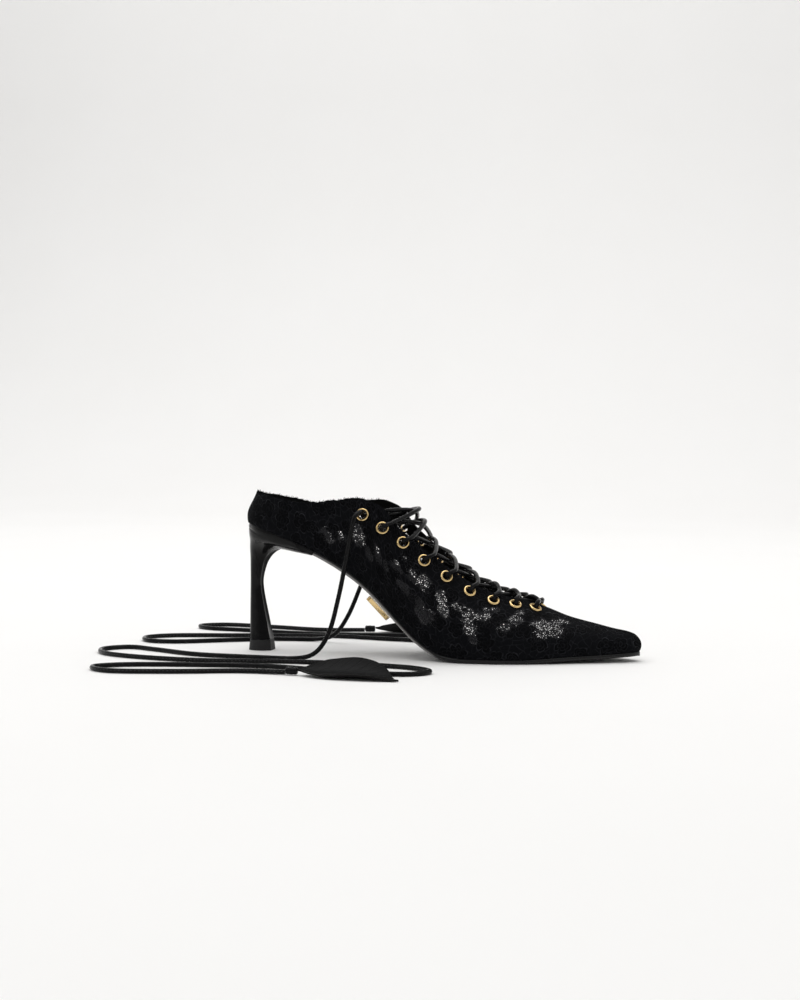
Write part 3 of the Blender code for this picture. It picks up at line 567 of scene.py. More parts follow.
def place(item, slot, *nodes):
    """Rides on the body and hides the nodes that it stands for. The slot is not used."""
    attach(item, BODY)
    if nodes:
        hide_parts(*nodes)
    return item


def add_piece(name, mesh, material, angle, slot, *nodes):
    mesh.materials.append(material)
    smooth(mesh, angle)
    return place(add_object(name, mesh), slot, *nodes)


def turns(count):
    """Angles at equal steps once round."""
    return [tau * k / count for k in range(count)]


def round_row(centre, radius, side_way, other, angles):
    return [centre + radius * (cos(a) * side_way + sin(a) * other) for a in angles]


def band_faces(rows, width, closed_rows=False, closed_width=True):
    """Quads between neighbouring rows of equal width."""
    faces = []
    for i in range(rows if closed_rows else rows - 1):
        j = (i + 1) % rows
        for k in range(width if closed_width else width - 1):
            m = (k + 1) % width
            faces.append((i * width + k, i * width + m, j * width + m, j * width + k))
    return faces


def add_solid(name, rows, material, angle, slot, *nodes, data=None, data_name="place"):
    """A closed solid from rows that each run round a cross-section."""
    width = len(rows[0])
    end = (len(rows) - 1) * width
    faces = band_faces(len(rows), width)
    faces += [tuple(range(width - 1, -1, -1)), tuple(range(end, end + width))]
    mesh = mesh_from(name, chain(*rows), faces)
    if data:
        add_vectors(mesh, data_name, chain(*data))
    tidy_mesh(mesh)
    return add_piece(name, mesh, material, angle, slot, *nodes)


def add_cord(name, points, material, *nodes):
    """A round cord along the points. Its skin stores its place: the distance along in
    millimetres, then cosine and sine of the angle round the cord."""
    angles = turns(CORD_SIDES)
    rows = []
    data = []
    side_way = (points[1] - points[0]).normalized().orthogonal()
    walked = 0.0
    for k, point in enumerate(points):
        before = points[max(k - 1, 0)]
        after = points[min(k + 1, len(points) - 1)]
        along = (after - before).normalized()
        side_way = (side_way - side_way.dot(along) * along).normalized()
        other = along.cross(side_way)
        walked += (point - before).length
        rows.append(round_row(point, CORD_DIAMETER / 2, side_way, other, angles))
        data.append([(walked / MM, cos(a), sin(a)) for a in angles])
    return add_solid(name, rows, material, 60, "cord", *nodes, data=data, data_name="cord")


# Materials

class Flow:
    """A number, vector or colour on its way through a node tree."""

    def __init__(self, nodes, socket):
        self.nodes = nodes
        self.socket = socket

    def __add__(self, other):
        return self.nodes.math("ADD", self, other)

    def __sub__(self, other):
        return self.nodes.math("SUBTRACT", self, other)

    def __rsub__(self, other):
        return self.nodes.math("SUBTRACT", other, self)

    def __mul__(self, other):
        return self.nodes.math("MULTIPLY", self, other)

    def __abs__(self):
        return self.nodes.math("ABSOLUTE", self)


class Nodes:
    """Short calls that add nodes to a tree."""

    def __init__(self, tree):
        self.tree = tree

    def feed(self, socket, value):
        """Links a flow to the socket, or sets a constant there."""
        if isinstance(value, Flow):
            self.tree.links.new(value.socket, socket)
        else:
            socket.default_value = (*value, 1.0) if socket.type == "RGBA" else value

    def add(self, kind, inputs, *outputs, **settings):
        """Adds a node and feeds its inputs. Gives the first output, or those named."""
        node = self.tree.nodes.new(kind)
        for name, value in settings.items():
            setattr(node, name, value)
        for key, value in inputs.items() if isinstance(inputs, dict) else enumerate(inputs):
            self.feed(node.inputs[key], value)
        flows = [Flow(self, node.outputs[key]) for key in outputs or (0,)]
        return flows if len(flows) > 1 else flows[0]

    def math(self, operation, *values):
        return self.add("ShaderNodeMath", values, operation=operation)

    def vector_math(self, operation, *values):
        return self.add("ShaderNodeVectorMath", values, operation=operation)

    def attribute(self, name, output="Vector"):
        return self.add("ShaderNodeAttribute", (), output, attribute_name=name)

    def place_in_mm(self):
        """Place in the shoe's frame, in millimetres."""
        metres = self.add("ShaderNodeTexCoord", (), "Object")
        return self.vector_math("MULTIPLY", metres, (1 / MM, 1 / MM, 1 / MM))

    def parts(self, vector):
        return self.add("ShaderNodeSeparateXYZ", (vector,), 0, 1, 2)

    def greatest(self, first, *others):
        for other in others:
            first = self.math("MAXIMUM", first, other)
        return first

    def ramp(self, value, low, high, from_value=0.0, to_value=1.0):
        """Smooth change from from_value to to_value as value goes from low to high."""
        return self.add("ShaderNodeMapRange", (value, low, high, from_value, to_value),
                        interpolation_type="SMOOTHSTEP")

    def noise(self, vector, scale, detail=2.0, rough=0.5, output="Fac"):
        inputs = {"Vector": vector, "Scale": scale, "Detail": detail, "Roughness": rough}
        return self.add("ShaderNodeTexNoise", inputs, output)

    def voronoi(self, vector, scale, *outputs, feature="F1", randomness=1.0, dimensions="3D"):
        inputs = {"Vector": vector, "Scale": scale, "Randomness": randomness}
        return self.add("ShaderNodeTexVoronoi", inputs, *outputs or ("Distance",), feature=feature,
                        voronoi_dimensions=dimensions)

    def mix(self, share, first, second):
        return self.add("ShaderNodeMix", {0: share, 6: first, 7: second}, 2, data_type="RGBA")

    def bump(self, height, distance, strength):
        """A normal tilted by the height, its distance in metres."""
        inputs = {"Height": height, "Distance": distance, "Strength": strength}
        return self.add("ShaderNodeBump", inputs)


class Material(Nodes):
    """The nodes of one material, round its shader."""

    def __init__(self, name, colour, roughness, metallic=0.0):
        self.material = bpy.data.materials.new(name)
        self.material.use_nodes = True
        self.material.diffuse_color = (*colour, 1.0)
        super().__init__(self.material.node_tree)
        self.shader = self.tree.nodes["Principled BSDF"]
        self.set("Base Color", colour)
        self.set("Roughness", roughness)
        self.set("Metallic", metallic)

    def set(self, socket, value):
        self.feed(self.shader.inputs[socket], value)

    def finish(self, colour, roughness=None, specular=None, bump=None):
        """Sets what is given, the bump as height, distance and strength."""
        self.set("Base Color", colour)
        if roughness is not None:
            self.set("Roughness", roughness)
        if specular is not None:
            self.set("Specular IOR Level", specular)
        if bump is not None:
            self.set("Normal", self.bump(*bump))
        return self.material


def make_cord_material():
    """Glossy rolled leather with painted highlight streaks in a lighter colour, a seam and its stitches.
    """
    nodes = Material("glossy_cord_leather", (0.012, 0.012, 0.013), 0.32)
    along, cosine, sine = nodes.parts(nodes.attribute("cord"))

    def streaks(stretch, scale, detail):
        spot = nodes.add("ShaderNodeCombineXYZ", (along * stretch, cosine, sine))
        return nodes.noise(spot, scale, detail)

    grain = streaks(0.5, 2.2, 4.0)
    fold = streaks(0.12, 1.3, 2.0)
    # Painted highlight: mask of lighter streaks along the cord that stand in for glossy streak
    # highlights
    painted_highlight_streaks = nodes.ramp(streaks(0.22, 3.6, 3.0), 0.60, 0.74)
    seam = nodes.ramp(cosine, 0.965, 0.995)
    beat = nodes.math("FRACT", along * (1 / 2.3))
    dash = nodes.ramp(beat, 0.10, 0.18) * nodes.ramp(beat, 0.62, 0.54)
    stitch = nodes.ramp(cosine, 0.984, 0.992) * dash
    colour = nodes.mix(grain, (0.0015, 0.0015, 0.0018), (0.005, 0.005, 0.0055))
    # Painted highlight: lighter colour on the streaks, standing in for streaks of reflected light
    colour = nodes.mix(painted_highlight_streaks, colour, (0.03, 0.03, 0.032))
    colour = nodes.mix(stitch, colour, (0.10, 0.10, 0.10))
    height = grain * 0.25 + fold * 0.7 - seam * 0.6 + stitch * 0.5
    return nodes.finish(colour, nodes.ramp(grain, 0.3, 0.7, 0.10, 0.28), 0.11, (height, 0.0005, 0.9))


LacePattern = namedtuple("LacePattern", "spot chance inside rim fine twig net thread near closed")


def lace_pattern(nodes):
    """Flowers of five petals with small leaves between, the net's threads, and where the
    cloth is closed. The cloth's own map is in millimetres."""
    spot = nodes.place_in_mm()
    drift = nodes.noise(spot, 0.13, output="Color")
    drift = nodes.vector_math("SUBTRACT", drift, (0.5, 0.5, 0.5))
    drift = nodes.vector_math("MULTIPLY", drift, (5.0, 5.0, 5.0))
    bent = nodes.vector_math("ADD", nodes.attribute("cloth"), drift)
    colour, centre = nodes.voronoi(bent, 1 / 12.5, "Color", "Position", randomness=0.85, dimensions="2D")
    chance, turn, _ = nodes.parts(colour)
    x, y, _ = nodes.parts(nodes.vector_math("SUBTRACT", bent, centre))
    angle = turn * 6.28 + nodes.math("ARCTAN2", y, x)
    radius = nodes.math("SQRT", x * x + y * y)
    lobe = abs(nodes.math("COSINE", angle * 2.5))
    reach = (chance * 2.0 + 4.4) * (nodes.math("SQRT", lobe) * 0.46 + 0.54)
    beyond = radius - reach
    inside = nodes.ramp(beyond, 0.25, -0.05)
    rim = nodes.ramp(abs(beyond), 0.46, 0.20)
    inner = nodes.ramp(abs(radius - reach * 0.62), 0.32, 0.12)
    heart = nodes.ramp(abs(radius - 1.2), 0.34, 0.14)
    parting = nodes.ramp(lobe, 0.16, 0.05) * nodes.ramp(beyond, 0.1, -0.3)
    fine = nodes.greatest(inner, heart, parting) * inside
    leaves = nodes.voronoi(bent, 1 / 4.4, feature="DISTANCE_TO_EDGE", dimensions="2D")
    twig = nodes.ramp(leaves, 0.075, 0.03) * (1.0 - inside)
    sheer = nodes.attribute("sheer", "Fac")
    openness = sheer + (nodes.noise(spot, 0.40, 3.0) * 0.7 - 0.35)
    near = nodes.ramp(openness, -0.15, 0.22) * nodes.ramp(sheer, 0.01, 0.10)
    kept = inside * nodes.ramp(sheer, 0.85, 0.60)
    closed = nodes.greatest(1.0 - nodes.ramp(openness, 0.22, 0.30), kept)
    net = nodes.voronoi(spot, 1 / 1.1, feature="DISTANCE_TO_EDGE", randomness=0.8)
    thread = nodes.ramp(net, 0.215, 0.15)
    return LacePattern(spot, chance, inside, rim, fine, twig, net, thread, near, closed)


def make_lace_material():
    """Matt black lace: outlined petals, open net where the cloth is sheer, and painted light: lighter
    dots at the net's holes near the sheer parts, standing in for light seen through the net.
    """
    nodes = Material("black_floral_lace", (0.004, 0.004, 0.005), 0.8)
    lace = lace_pattern(nodes)
    faded = nodes.ramp(nodes.noise(lace.spot, 0.20, 3.0), 0.36, 0.60, 0.25, 1.0)
    lines = nodes.greatest(lace.rim, lace.fine * 0.55, lace.twig * 0.5) * faded
    weave = nodes.voronoi(lace.spot, 1 / 0.42)
    speck = nodes.ramp(weave, 0.30, 0.12) * nodes.ramp(lace.chance, 0.3, 0.9)
    # Painted light: lighter dots at the net's holes near the sheer parts, standing in for light seen
    # through the net
    painted_light_dots = nodes.ramp(lace.net, 0.22, 0.34) * lace.near
    colour = nodes.mix(lace.inside, (0.0036, 0.0038, 0.0047), (0.0019, 0.0020, 0.0025))
    colour = nodes.mix(speck * 0.3, colour, (0.011, 0.0115, 0.013))
    colour = nodes.mix(lines * 0.8, colour, (0.0200, 0.0205, 0.0240))
    colour = nodes.mix(painted_light_dots * 0.55, colour, (0.040, 0.040, 0.042))
    colour = nodes.mix(lace.closed, (0.022, 0.022, 0.024), colour)
    height = lines * 0.7 + lace.inside * 0.5 + nodes.ramp(weave, 0.5, 0.1) * 0.25
    height = height * (lace.closed * 0.8 + 0.2)
    nodes.set("Sheen Weight", 0.004)
    nodes.set("Sheen Roughness", 0.4)
    nodes.set("Alpha", nodes.greatest(lace.closed, lace.thread))
    return nodes.finish(colour, nodes.ramp(lines, 0.0, 1.0, 0.85, 0.55), 0.04, (height, 0.0005, 0.9))


def make_lining_material():
    """Smooth black backing, left out behind the net."""
    nodes = Material("black_backing", (0.006, 0.006, 0.006), 0.7)
    lace = lace_pattern(nodes)
    grain = nodes.noise(lace.spot, 1.6, 4.0)
    colour = nodes.mix(grain, (0.003, 0.003, 0.003), (0.007, 0.007, 0.007))
    nodes.set("Alpha", lace.closed)
    return nodes.finish(colour, None, 0.12, (grain, 0.0002, 0.6))


def make_insole_material():
    """Grained leather with pores."""
    nodes = Material("insole_leather", (0.010, 0.010, 0.010), 0.5)
    spot = nodes.place_in_mm()
    pores = nodes.voronoi(spot, 1 / 0.7)
    grain = nodes.noise(spot, 0.9, 5.0, 0.6)
    colour = nodes.mix(grain, (0.006, 0.006, 0.006), (0.016, 0.0155, 0.015))
    height = grain * 0.6 + nodes.ramp(pores, 0.4, 0.0, 0.0, -0.3)
    return nodes.finish(colour, nodes.ramp(grain, 0.3, 0.7, 0.42, 0.6), None, (height, 0.00025, 0.6))


def make_gold_material():
    """Polished pale gold with faint rubbing marks."""
    nodes = Material("pale_gold_metal", (0.80, 0.62, 0.34), 0.2, 1.0)
    spot = nodes.place_in_mm()
    rubbed = nodes.noise(nodes.vector_math("MULTIPLY", spot, (0.5, 3.0, 0.5)), 2.0, 4.0)
    colour = nodes.mix(nodes.noise(spot, 0.6), (0.66, 0.47, 0.21), (0.74, 0.55, 0.28))
    return nodes.finish(colour, nodes.ramp(rubbed, 0.3, 0.75, 0.13, 0.24), None, (rubbed, 0.00001, 0.3))


def make_gloss_material():
    """High gloss black, with the very slight waviness of a painted shell."""
    nodes = Material("gloss_black", (0.004, 0.004, 0.0045), 0.12)
    spot = nodes.place_in_mm()
    wave = nodes.noise(spot, 0.08)
    dust = nodes.noise(spot, 3.0, 4.0, 0.6)
    colour = nodes.mix(wave, (0.0015, 0.0015, 0.0017), (0.003, 0.003, 0.0032))
    nodes.set("IOR", 1.4)
    return nodes.finish(colour, nodes.ramp(dust, 0.35, 0.8, 0.13, 0.24), 0.22, (wave, 0.0006, 0.5))


def make_rubber_material():
    nodes = Material("dark_rubber", (0.016, 0.016, 0.017), 0.55)
    grain = nodes.noise(nodes.place_in_mm(), 4.0, 4.0, 0.6)
    colour = nodes.mix(grain, (0.007, 0.007, 0.0075), (0.015, 0.015, 0.0155))
    return nodes.finish(colour, nodes.ramp(grain, 0.3, 0.7, 0.42, 0.62), 0.3, (grain, 0.00015, 0.7))


def make_sole_material():
    """Black finished leather, with painted reflection: a lighter colour on the bevel along the waist
    stands in for the floor's pale reflection there.
    """
    nodes = Material("black_sole_leather", (0.005, 0.005, 0.0055), 0.3)
    spot = nodes.place_in_mm()
    # The third number of the place is the share of painted reflection on the waist's bevel
    _, _, bevel = nodes.parts(nodes.attribute("place"))
    fibre = nodes.noise(nodes.vector_math("MULTIPLY", spot, (0.25, 1.2, 1.2)), 1.4, 5.0, 0.6)
    cloud = nodes.noise(spot, 0.07, 3.0)
    colour = nodes.mix(fibre, (0.0025, 0.0025, 0.003), (0.007, 0.007, 0.0075))
    # Painted reflection: lighter colour on the waist's bevel, standing in for the floor's pale
    # reflection
    colour = nodes.mix(bevel, colour, (0.22, 0.215, 0.21))
    return nodes.finish(colour, nodes.ramp(cloud, 0.3, 0.7, 0.22, 0.36), 0.3, (fibre, 0.00012, 0.5))


def make_leaf_material():
    """Soft matt leather, pressed with veins that leave the middle line."""
    nodes = Material("matt_leaf_leather", (0.010, 0.010, 0.010), 0.5)
    along, across, _ = nodes.parts(nodes.attribute("place"))
    beside = abs(across)
    veins = nodes.ramp(nodes.math("PINGPONG", along - beside * 1.1, 3.2), 0.55, 0.05)
    grain = nodes.noise(nodes.place_in_mm(), 1.8, 5.0, 0.6)
    colour = nodes.mix(grain, (0.002, 0.002, 0.002), (0.006, 0.006, 0.0063))
    height = grain * 0.35 - veins * 0.5 - nodes.ramp(beside, 0.9, 0.2)
    return nodes.finish(colour, nodes.ramp(grain, 0.3, 0.7, 0.40, 0.55), 0.09, (height, 0.0003, 0.9))


# Lace and ties

def strand_points(eyelets, side, number, lift):
    """One lace from its eyelet over the throat to inside the next one up. It keeps clear
    of ring, edge and wall by steps in cord radii along them and in wall depths off them."""
    radius = CORD_DIAMETER / 2
    start = eyelets[side, number + 1]
    goal = eyelets[-side, number]
    over_ring = EYELET_CROWN + 2.2 * CORD_CLEARANCE + radius
    over_edge = 2 * CORD_CLEARANCE + radius
    depth = UPPER_WALL + CORD_CLEARANCE + radius
    over = start.edge + over_edge * start.edge_normal + 0.2 * radius * start.way
    under = goal.edge + 3.2 * radius * goal.way - 1.36 * depth * goal.edge_normal
    return [
        start.centre + over_ring * start.normal + radius * start.way,
        over,
        lace_middle(eyelets, number, (over + under) / 2, lift),
        under,
        goal.edge - 0.4 * radius * goal.way - 1.95 * depth * goal.edge_normal,
        goal.centre + 0.7 * radius * goal.way - LACE_DEPTH * goal.normal,
    ]


def lace_middle(eyelets, number, between, lift):
    """Where the two laces of a crossing meet, one lifted over the other."""
    row = EYELET_TABLE[number]
    lower = [eyelets[side, number + 1].centre for side in SIDES]
    upper = [eyelets[side, number].centre for side in SIDES]
    lean = radians(row.lean)
    away = Vector((cos(lean), 0.0, sin(lean)))
    middle = between + (row.bulge * (lower[1] - lower[0]).length + lift) * away
    middle.y = (upper[0].y + upper[1].y) / 2
    return middle


def lace_chain(eyelets, start_side):
    """The lace from the lowest eyelet of one side, crosswise to a top eyelet."""
    side = start_side
    lowest = len(EYELET_TABLE)
    first = eyelets[side, lowest]
    points = [first.centre - LACE_DEPTH * first.normal]
    for number in range(lowest - 1, 0, -1):
        start = eyelets[side, number + 1]
        over_first = (number % 2 == 0) == (start_side == LATERAL)
        lift = (0.55 if over_first else -0.55) * CORD_DIAMETER
        points.append(start.centre - 0.2 * CORD_DIAMETER * start.normal)
        points += strand_points(eyelets, side, number, lift)
        side = -side
    top = eyelets[side, 1]
    points.append(top.centre - 0.3 * CORD_DIAMETER * top.normal)
    return points


def build_laces(eyelets, material):
    lateral, medial = [lace_chain(eyelets, side) for side in SIDES]
    middle = (lateral[0] + medial[0]) / 2
    middle.z -= CORD_CLEARANCE
    points = smooth_route(lateral[::-1] + [middle] + medial, CORD_STEP)
    nodes = ["lace_crossing_%d" % number for number in range(1, len(EYELET_TABLE))]
    add_cord("crosswise_lace", points, material, "lace_bar", *nodes)


def tie_points(eyelets, side):
    eyelet = eyelets[side, 1]
    route = [
        eyelet.centre + 0.2 * CORD_DIAMETER * eyelet.normal,
        eyelet.centre + CORD_DIAMETER * (TIE_WAY_OUT * eyelet.normal + TIE_WAY_UP * UP),
        *TIE_ROUTES[side],
    ]
    points = smooth_route(route, TIE_STEP)
    for point in points:
        point.z = max(point.z, CORD_DIAMETER / 2 + CORD_FLOOR_GAP)
    return points


def build_tie(eyelets, side, cord_material, leaf_material):
    """The free end of the lace with its cap and leaf."""
    points = tie_points(eyelets, side)
    name = SIDE_NAMES[side]
    tie = add_cord("long_tie_" + name, points, cord_material, "tie_" + name)
    along = points[-1] - points[-4]
    along.z = 0.0
    along.normalize()
    across = Vector((-along.y, along.x, 0.0)) * -side
    cap_start = points[-1] + GAP * along
    cap_start.z = CAP_DIAMETER / 2 + LEAF_FLOOR_GAP
    cap = build_cap(name, cap_start, along, cord_material)
    leaf_start = cap_start + (CAP_LENGTH + GAP) * along
    leaf = build_leaf(name, leaf_start, along, across, leaf_material)
    length = sum((b - a).length for a, b in zip(points, points[1:]))
    tuple(points[0])
    [tuple(p) for p in points]


def build_cap(name, start, along, material):
    """A rolled end with a rounded mouth and two pressed rings."""
    profile = ((0.00, 0.60), (0.04, 0.84), (0.10, 0.96), (0.20, 1.00), (0.27, 0.92),
               (0.34, 1.00), (0.60, 1.00), (0.67, 0.92), (0.74, 1.00), (0.90, 0.96),
               (0.97, 0.84), (1.00, 0.60))
    side_way = along.orthogonal().normalized()
    other = along.cross(side_way)
    angles = turns(CAP_SIDES)
    rows = []
    data = []
    for share, spread in profile:
        centre = start + share * CAP_LENGTH * along
        rows.append(round_row(centre, CAP_DIAMETER / 2 * spread, side_way, other, angles))
        data.append([(share * CAP_LENGTH / MM, 0.0, sin(a)) for a in angles])
    return add_solid("tie_cap_" + name, rows, material, 50, "cord", "leaf_cap_" + name,
                     data=data, data_name="cord")


def build_leaf(name, root, along, across, material):
    """A leather leaf lying on the floor, one edge curled up, with a pressed middle line."""
    table = SmoothTable([row[0] for row in LEAF_TABLE], [row[1:] for row in LEAF_TABLE])
    ways = [k / LEAF_SIDE_STEPS - 1 for k in range(2 * LEAF_SIDE_STEPS + 1)]
    rows = []
    data = []
    for step in range(LEAF_STEPS + 1):
        share = step / LEAF_STEPS
        inner, outer, bend = table.at(share)
        centre = root + share * LEAF_LENGTH * along + bend * LEAF_WIDTH * across
        root_lift = CAP_DIAMETER / 2 * max(0.0, 1 - share / 0.3) ** 2
        lower = []
        upper = []
        for way in ways:
            width = outer if way < 0 else inner
            curl = LEAF_CURL * width * way ** 2 * (LEAF_OUTER_CURL if way < 0 else 1.0)
            wave = LEAF_WAVE * sin(9 * share + 2) * way ** 2
            thickness = LEAF_THICKNESS * (1 - (1 - LEAF_EDGE) * abs(way) ** 3)
            groove = LEAF_GROOVE * exp(-(way * width / 0.05) ** 2) * sin(pi * min(share, 0.9) / 0.9)
            point = centre + way * width * LEAF_WIDTH / 2 * across
            point.z = LEAF_FLOOR_GAP + root_lift + max(0.0, curl + wave)
            lower.append(point)
            upper.append(point + (thickness - groove) * UP)
        rows.append(lower + upper[::-1])
        places = [(share * LEAF_LENGTH / MM, way * LEAF_WIDTH / 2 / MM, 0.0) for way in ways]
        data.append(places + places[::-1])
    return add_solid("leather_leaf_" + name, rows, material, 50, "leaf_leather", "leaf_" + name,
                     data=data)


# Upper

def soft_step(value, low, high):
    """Smooth change from 0 at low to 1 at high."""
    share = min(max((value - low) / (high - low), 0.0), 1.0)
    return share * share * (3 - 2 * share)


def sheer_at(side, u, a, h):
    """How open the lace is, from 0 for closed to 1 for open net, at a distance a from the
    back and a height h on the cloth's map."""
    base = 0.0
    growth = 1.0
    if side == MEDIAL:
        start, end, low, base = INNER_NET_BAND
        base *= soft_step(a, start, start + 12) * soft_step(a, end, end - 12)
        base *= soft_step(h, low, low + 5)
        growth = INNER_PATCH_GROWTH
        a += INNER_PATCH_SHIFT[0]
        h += INNER_PATCH_SHIFT[1]
    spread = PATCH_SPREAD * growth
    openness = max(1 - (hypot(a - x, h - y) / (spread * r)) ** 2 for x, y, r in NET_PATCHES)
    openness = max(openness, base)
    if side == LATERAL:
        closed = min((hypot(a - x, h - y) / (FLOWER_SPREAD * r)) ** 2 for x, y, r in FLOWERS)
        openness = min(openness, closed)
    return max(openness, 0.0) * soft_step(u, NET_TOP[side], NET_TOP[side] - NET_TOP_FADE)


def crease_depth(a, h):
    """Depth of the soft hollows at a place on the cloth's map, in millimetres."""
    here = Vector((a, h))
    depth = 0.0
    for *line, half_width, deepest in CREASES:
        start = Vector(line[:2])
        along = Vector(line[2:]) - start
        share = min(max((here - start).dot(along) / along.length_squared, 0.0), 1.0)
        distance = (here - start - share * along).length
        depth += deepest * exp(-(distance / half_width) ** 2)
    return depth


def cloth_point(last, point, side, p, u, a, h):
    """A point of the last's surface, with soft hollows and a wavy top edge."""
    depth = crease_depth(a, h) * min(1.0, 6 * u, 6 * (1 - u))
    if depth > 0.01:
        _, normal, _ = last.frame(side, max(p, 0.005), min(max(u, 0.01), 0.99))
        point = point - depth * MM * normal
    collar = min(1.0, 5 * max(0.0, 1 - p / FRINGE_END))
    wave = sin(0.37 * a + side) + 0.7 * sin(1.31 * a + 2 * side) + 0.7 * sin(3.1 * a)
    return point + EDGE_WAVE * wave * collar * u ** 6 * UP


def upper_mesh(last):
    """The lace wall's outer face, with its own map and how open it is stored at each point."""
    places = even_places(last, 0.0, 1.0, CLOTH_STEP)
    ring = [(LATERAL, p) for p in places[::-1]] + [(MEDIAL, p) for p in places[1:-1]]
    points = []
    sheer = []
    data = []
    for side, p in ring:
        corners = last.section(side, p)
        along = p * last.reach / MM
        height = 0.0
        before = corners[0]
        for k in range(CLOTH_ROWS + 1):
            u = k / CLOTH_ROWS
            here = on_curve(corners, u)
            height += (here - before).length / MM
            before = here
            points.append(cloth_point(last, here, side, p, u, along, height))
            sheer.append(sheer_at(side, u, along, height))
            data.append((along, height, 0.0))
    faces = band_faces(len(ring), CLOTH_ROWS + 1, closed_rows=True, closed_width=False)
    mesh = mesh_from("lace_upper", points, [face[::-1] for face in faces])
    mesh.attributes.new("sheer", "FLOAT", "POINT").data.foreach_set("value", sheer)
    add_vectors(mesh, "cloth", data)
    tidy_mesh(mesh)
    return mesh


def build_upper(last, eyelets, cloth, lining):
    """The lace wall with its lining and the eyelet holes."""
    mesh = upper_mesh(last)
    mesh.materials.append(cloth)
    mesh.materials.append(lining)
    upper = add_object("lace_upper", mesh)
    wall = upper.modifiers.new("wall", "SOLIDIFY")
    wall.thickness = CLOTH_THICKNESS
    wall.offset = -1
    wall.material_offset = 1
    holes = upper.modifiers.new("eyelet holes", "BOOLEAN")
    holes.operation = "DIFFERENCE"
    holes.object = eyelet_hole_guide(eyelets)
    bpy.context.view_layer.update()
    depsgraph = bpy.context.evaluated_depsgraph_get()
    finished = bpy.data.meshes.new_from_object(upper.evaluated_get(depsgraph))
    bpy.data.objects.remove(holes.object, do_unlink=True)
    upper.modifiers.clear()
    upper.data = finished
    smooth(finished, 50)
    place(upper, "lace_cloth", "upper")


def build_fringe(last, cloth):
    """Short loose threads along the collar's cut edge, each a thin bent spike."""
    chance = random.Random(7)
    points = []
    faces = []
    for _ in range(FRINGE_THREADS):
        side = chance.choice(SIDES)
        p = FRINGE_END * chance.random()
        root, normal, upward = last.frame(side, max(p, 0.005), 0.995)
        ahead = normal.cross(upward)
        lean = chance.uniform(-0.9, 0.9) * ahead + chance.uniform(-0.5, 0.5) * normal
        way = (upward + lean).normalized()
        length = FRINGE_LENGTH * chance.uniform(0.35, 1.0)
        thick = MM * chance.uniform(0.10, 0.30)
        root = root - FRINGE_ROOT * upward - chance.uniform(0.1, 0.8) * CLOTH_THICKNESS * normal
        bend = root + 0.6 * length * way + 0.25 * length * chance.uniform(-1, 1) * ahead
        first = len(points)
        for centre, spread in ((root, 1.0), (bend, 0.8)):
            points += round_row(centre, spread * thick, ahead, normal, turns(3))
        points.append(root + (length + FRINGE_ROOT) * way)
        for k in range(3):
            m = (k + 1) % 3
            faces.append((first + k, first + m, first + 3 + m, first + 3 + k))
            faces.append((first + 3 + k, first + 3 + m, first + 6))
    mesh = mesh_from("collar_threads", points, faces)
    add_piece("collar_threads", mesh, cloth, 60, "lace_cloth")


def eyelet_hole_guide(eyelets):
    """Short rods through all eyelets, which cut the holes and are then removed."""
    shape = bmesh.new()
    radius = EYELET_BARREL / 2 + GAP
    for eyelet in eyelets.values():
        turn = eyelet.normal.to_track_quat("Z", "Y").to_matrix().to_4x4()
        turn.translation = eyelet.centre
        bmesh.ops.create_cone(shape, cap_ends=True, segments=HOLE_SIDES, radius1=radius,
                              radius2=radius, depth=6 * UPPER_WALL, matrix=turn)
    mesh = bpy.data.meshes.new("eyelet_hole_guide")
    shape.to_mesh(mesh)
    shape.free()
    return add_object("eyelet_hole_guide", mesh)


# Eyelets

def eyelet_mesh():
    """A rolled ring on a short barrel, turned from its profile in millimetres."""
    hole = EYELET_HOLE / 2 / MM
    rim = EYELET_DIAMETER / 2 / MM
    barrel = EYELET_BARREL / 2 / MM
    crown = EYELET_CROWN / MM
    tail = -(UPPER_WALL + EYELET_TAIL) / MM
    lip = 0.35
    bevel = 0.12
    profile = [(hole, tail), (hole, lip)]
    for k in range(1, EYELET_ROLL_STEPS):
        angle = pi * k / EYELET_ROLL_STEPS
        r = (hole + rim) / 2 - (rim - hole) / 2 * cos(angle)
        profile.append((r, lip + (crown - lip) * sin(angle)))
    profile += [(rim, lip), (rim - bevel, bevel), (barrel + bevel, bevel), (barrel, 0.0),
                (barrel, tail + 0.15), (barrel + bevel, tail)]
    points = []
    for angle in turns(EYELET_SIDES):
        points += [Vector((r * cos(angle), r * sin(angle), z)) * MM for r, z in profile]
    mesh = mesh_from("gold_eyelet", points, band_faces(EYELET_SIDES, len(profile), closed_rows=True))
    tidy_mesh(mesh)
    smooth(mesh, 35)
    return mesh


def build_eyelets(eyelets, material):
    mesh = eyelet_mesh()
    mesh.materials.append(material)
    for (side, number), eyelet in eyelets.items():
        name = "%s_%d" % (SIDE_NAMES[side], number)
        ring = add_object("gold_eyelet_" + name, mesh)
        ring.location = eyelet.centre
        ring.rotation_mode = "QUATERNION"
        ring.rotation_quaternion = eyelet.normal.to_track_quat("Z", "Y")
        bpy.context.view_layer.update()
        place(ring, "pale_gold", "eyelet_" + name)


# Sole and its plate

def waist_crown(slope):
    """How far the sole's underside bulges, most where the waist is steep."""
    return WAIST_CROWN * min(1.0, slope / CROWN_SLOPE)


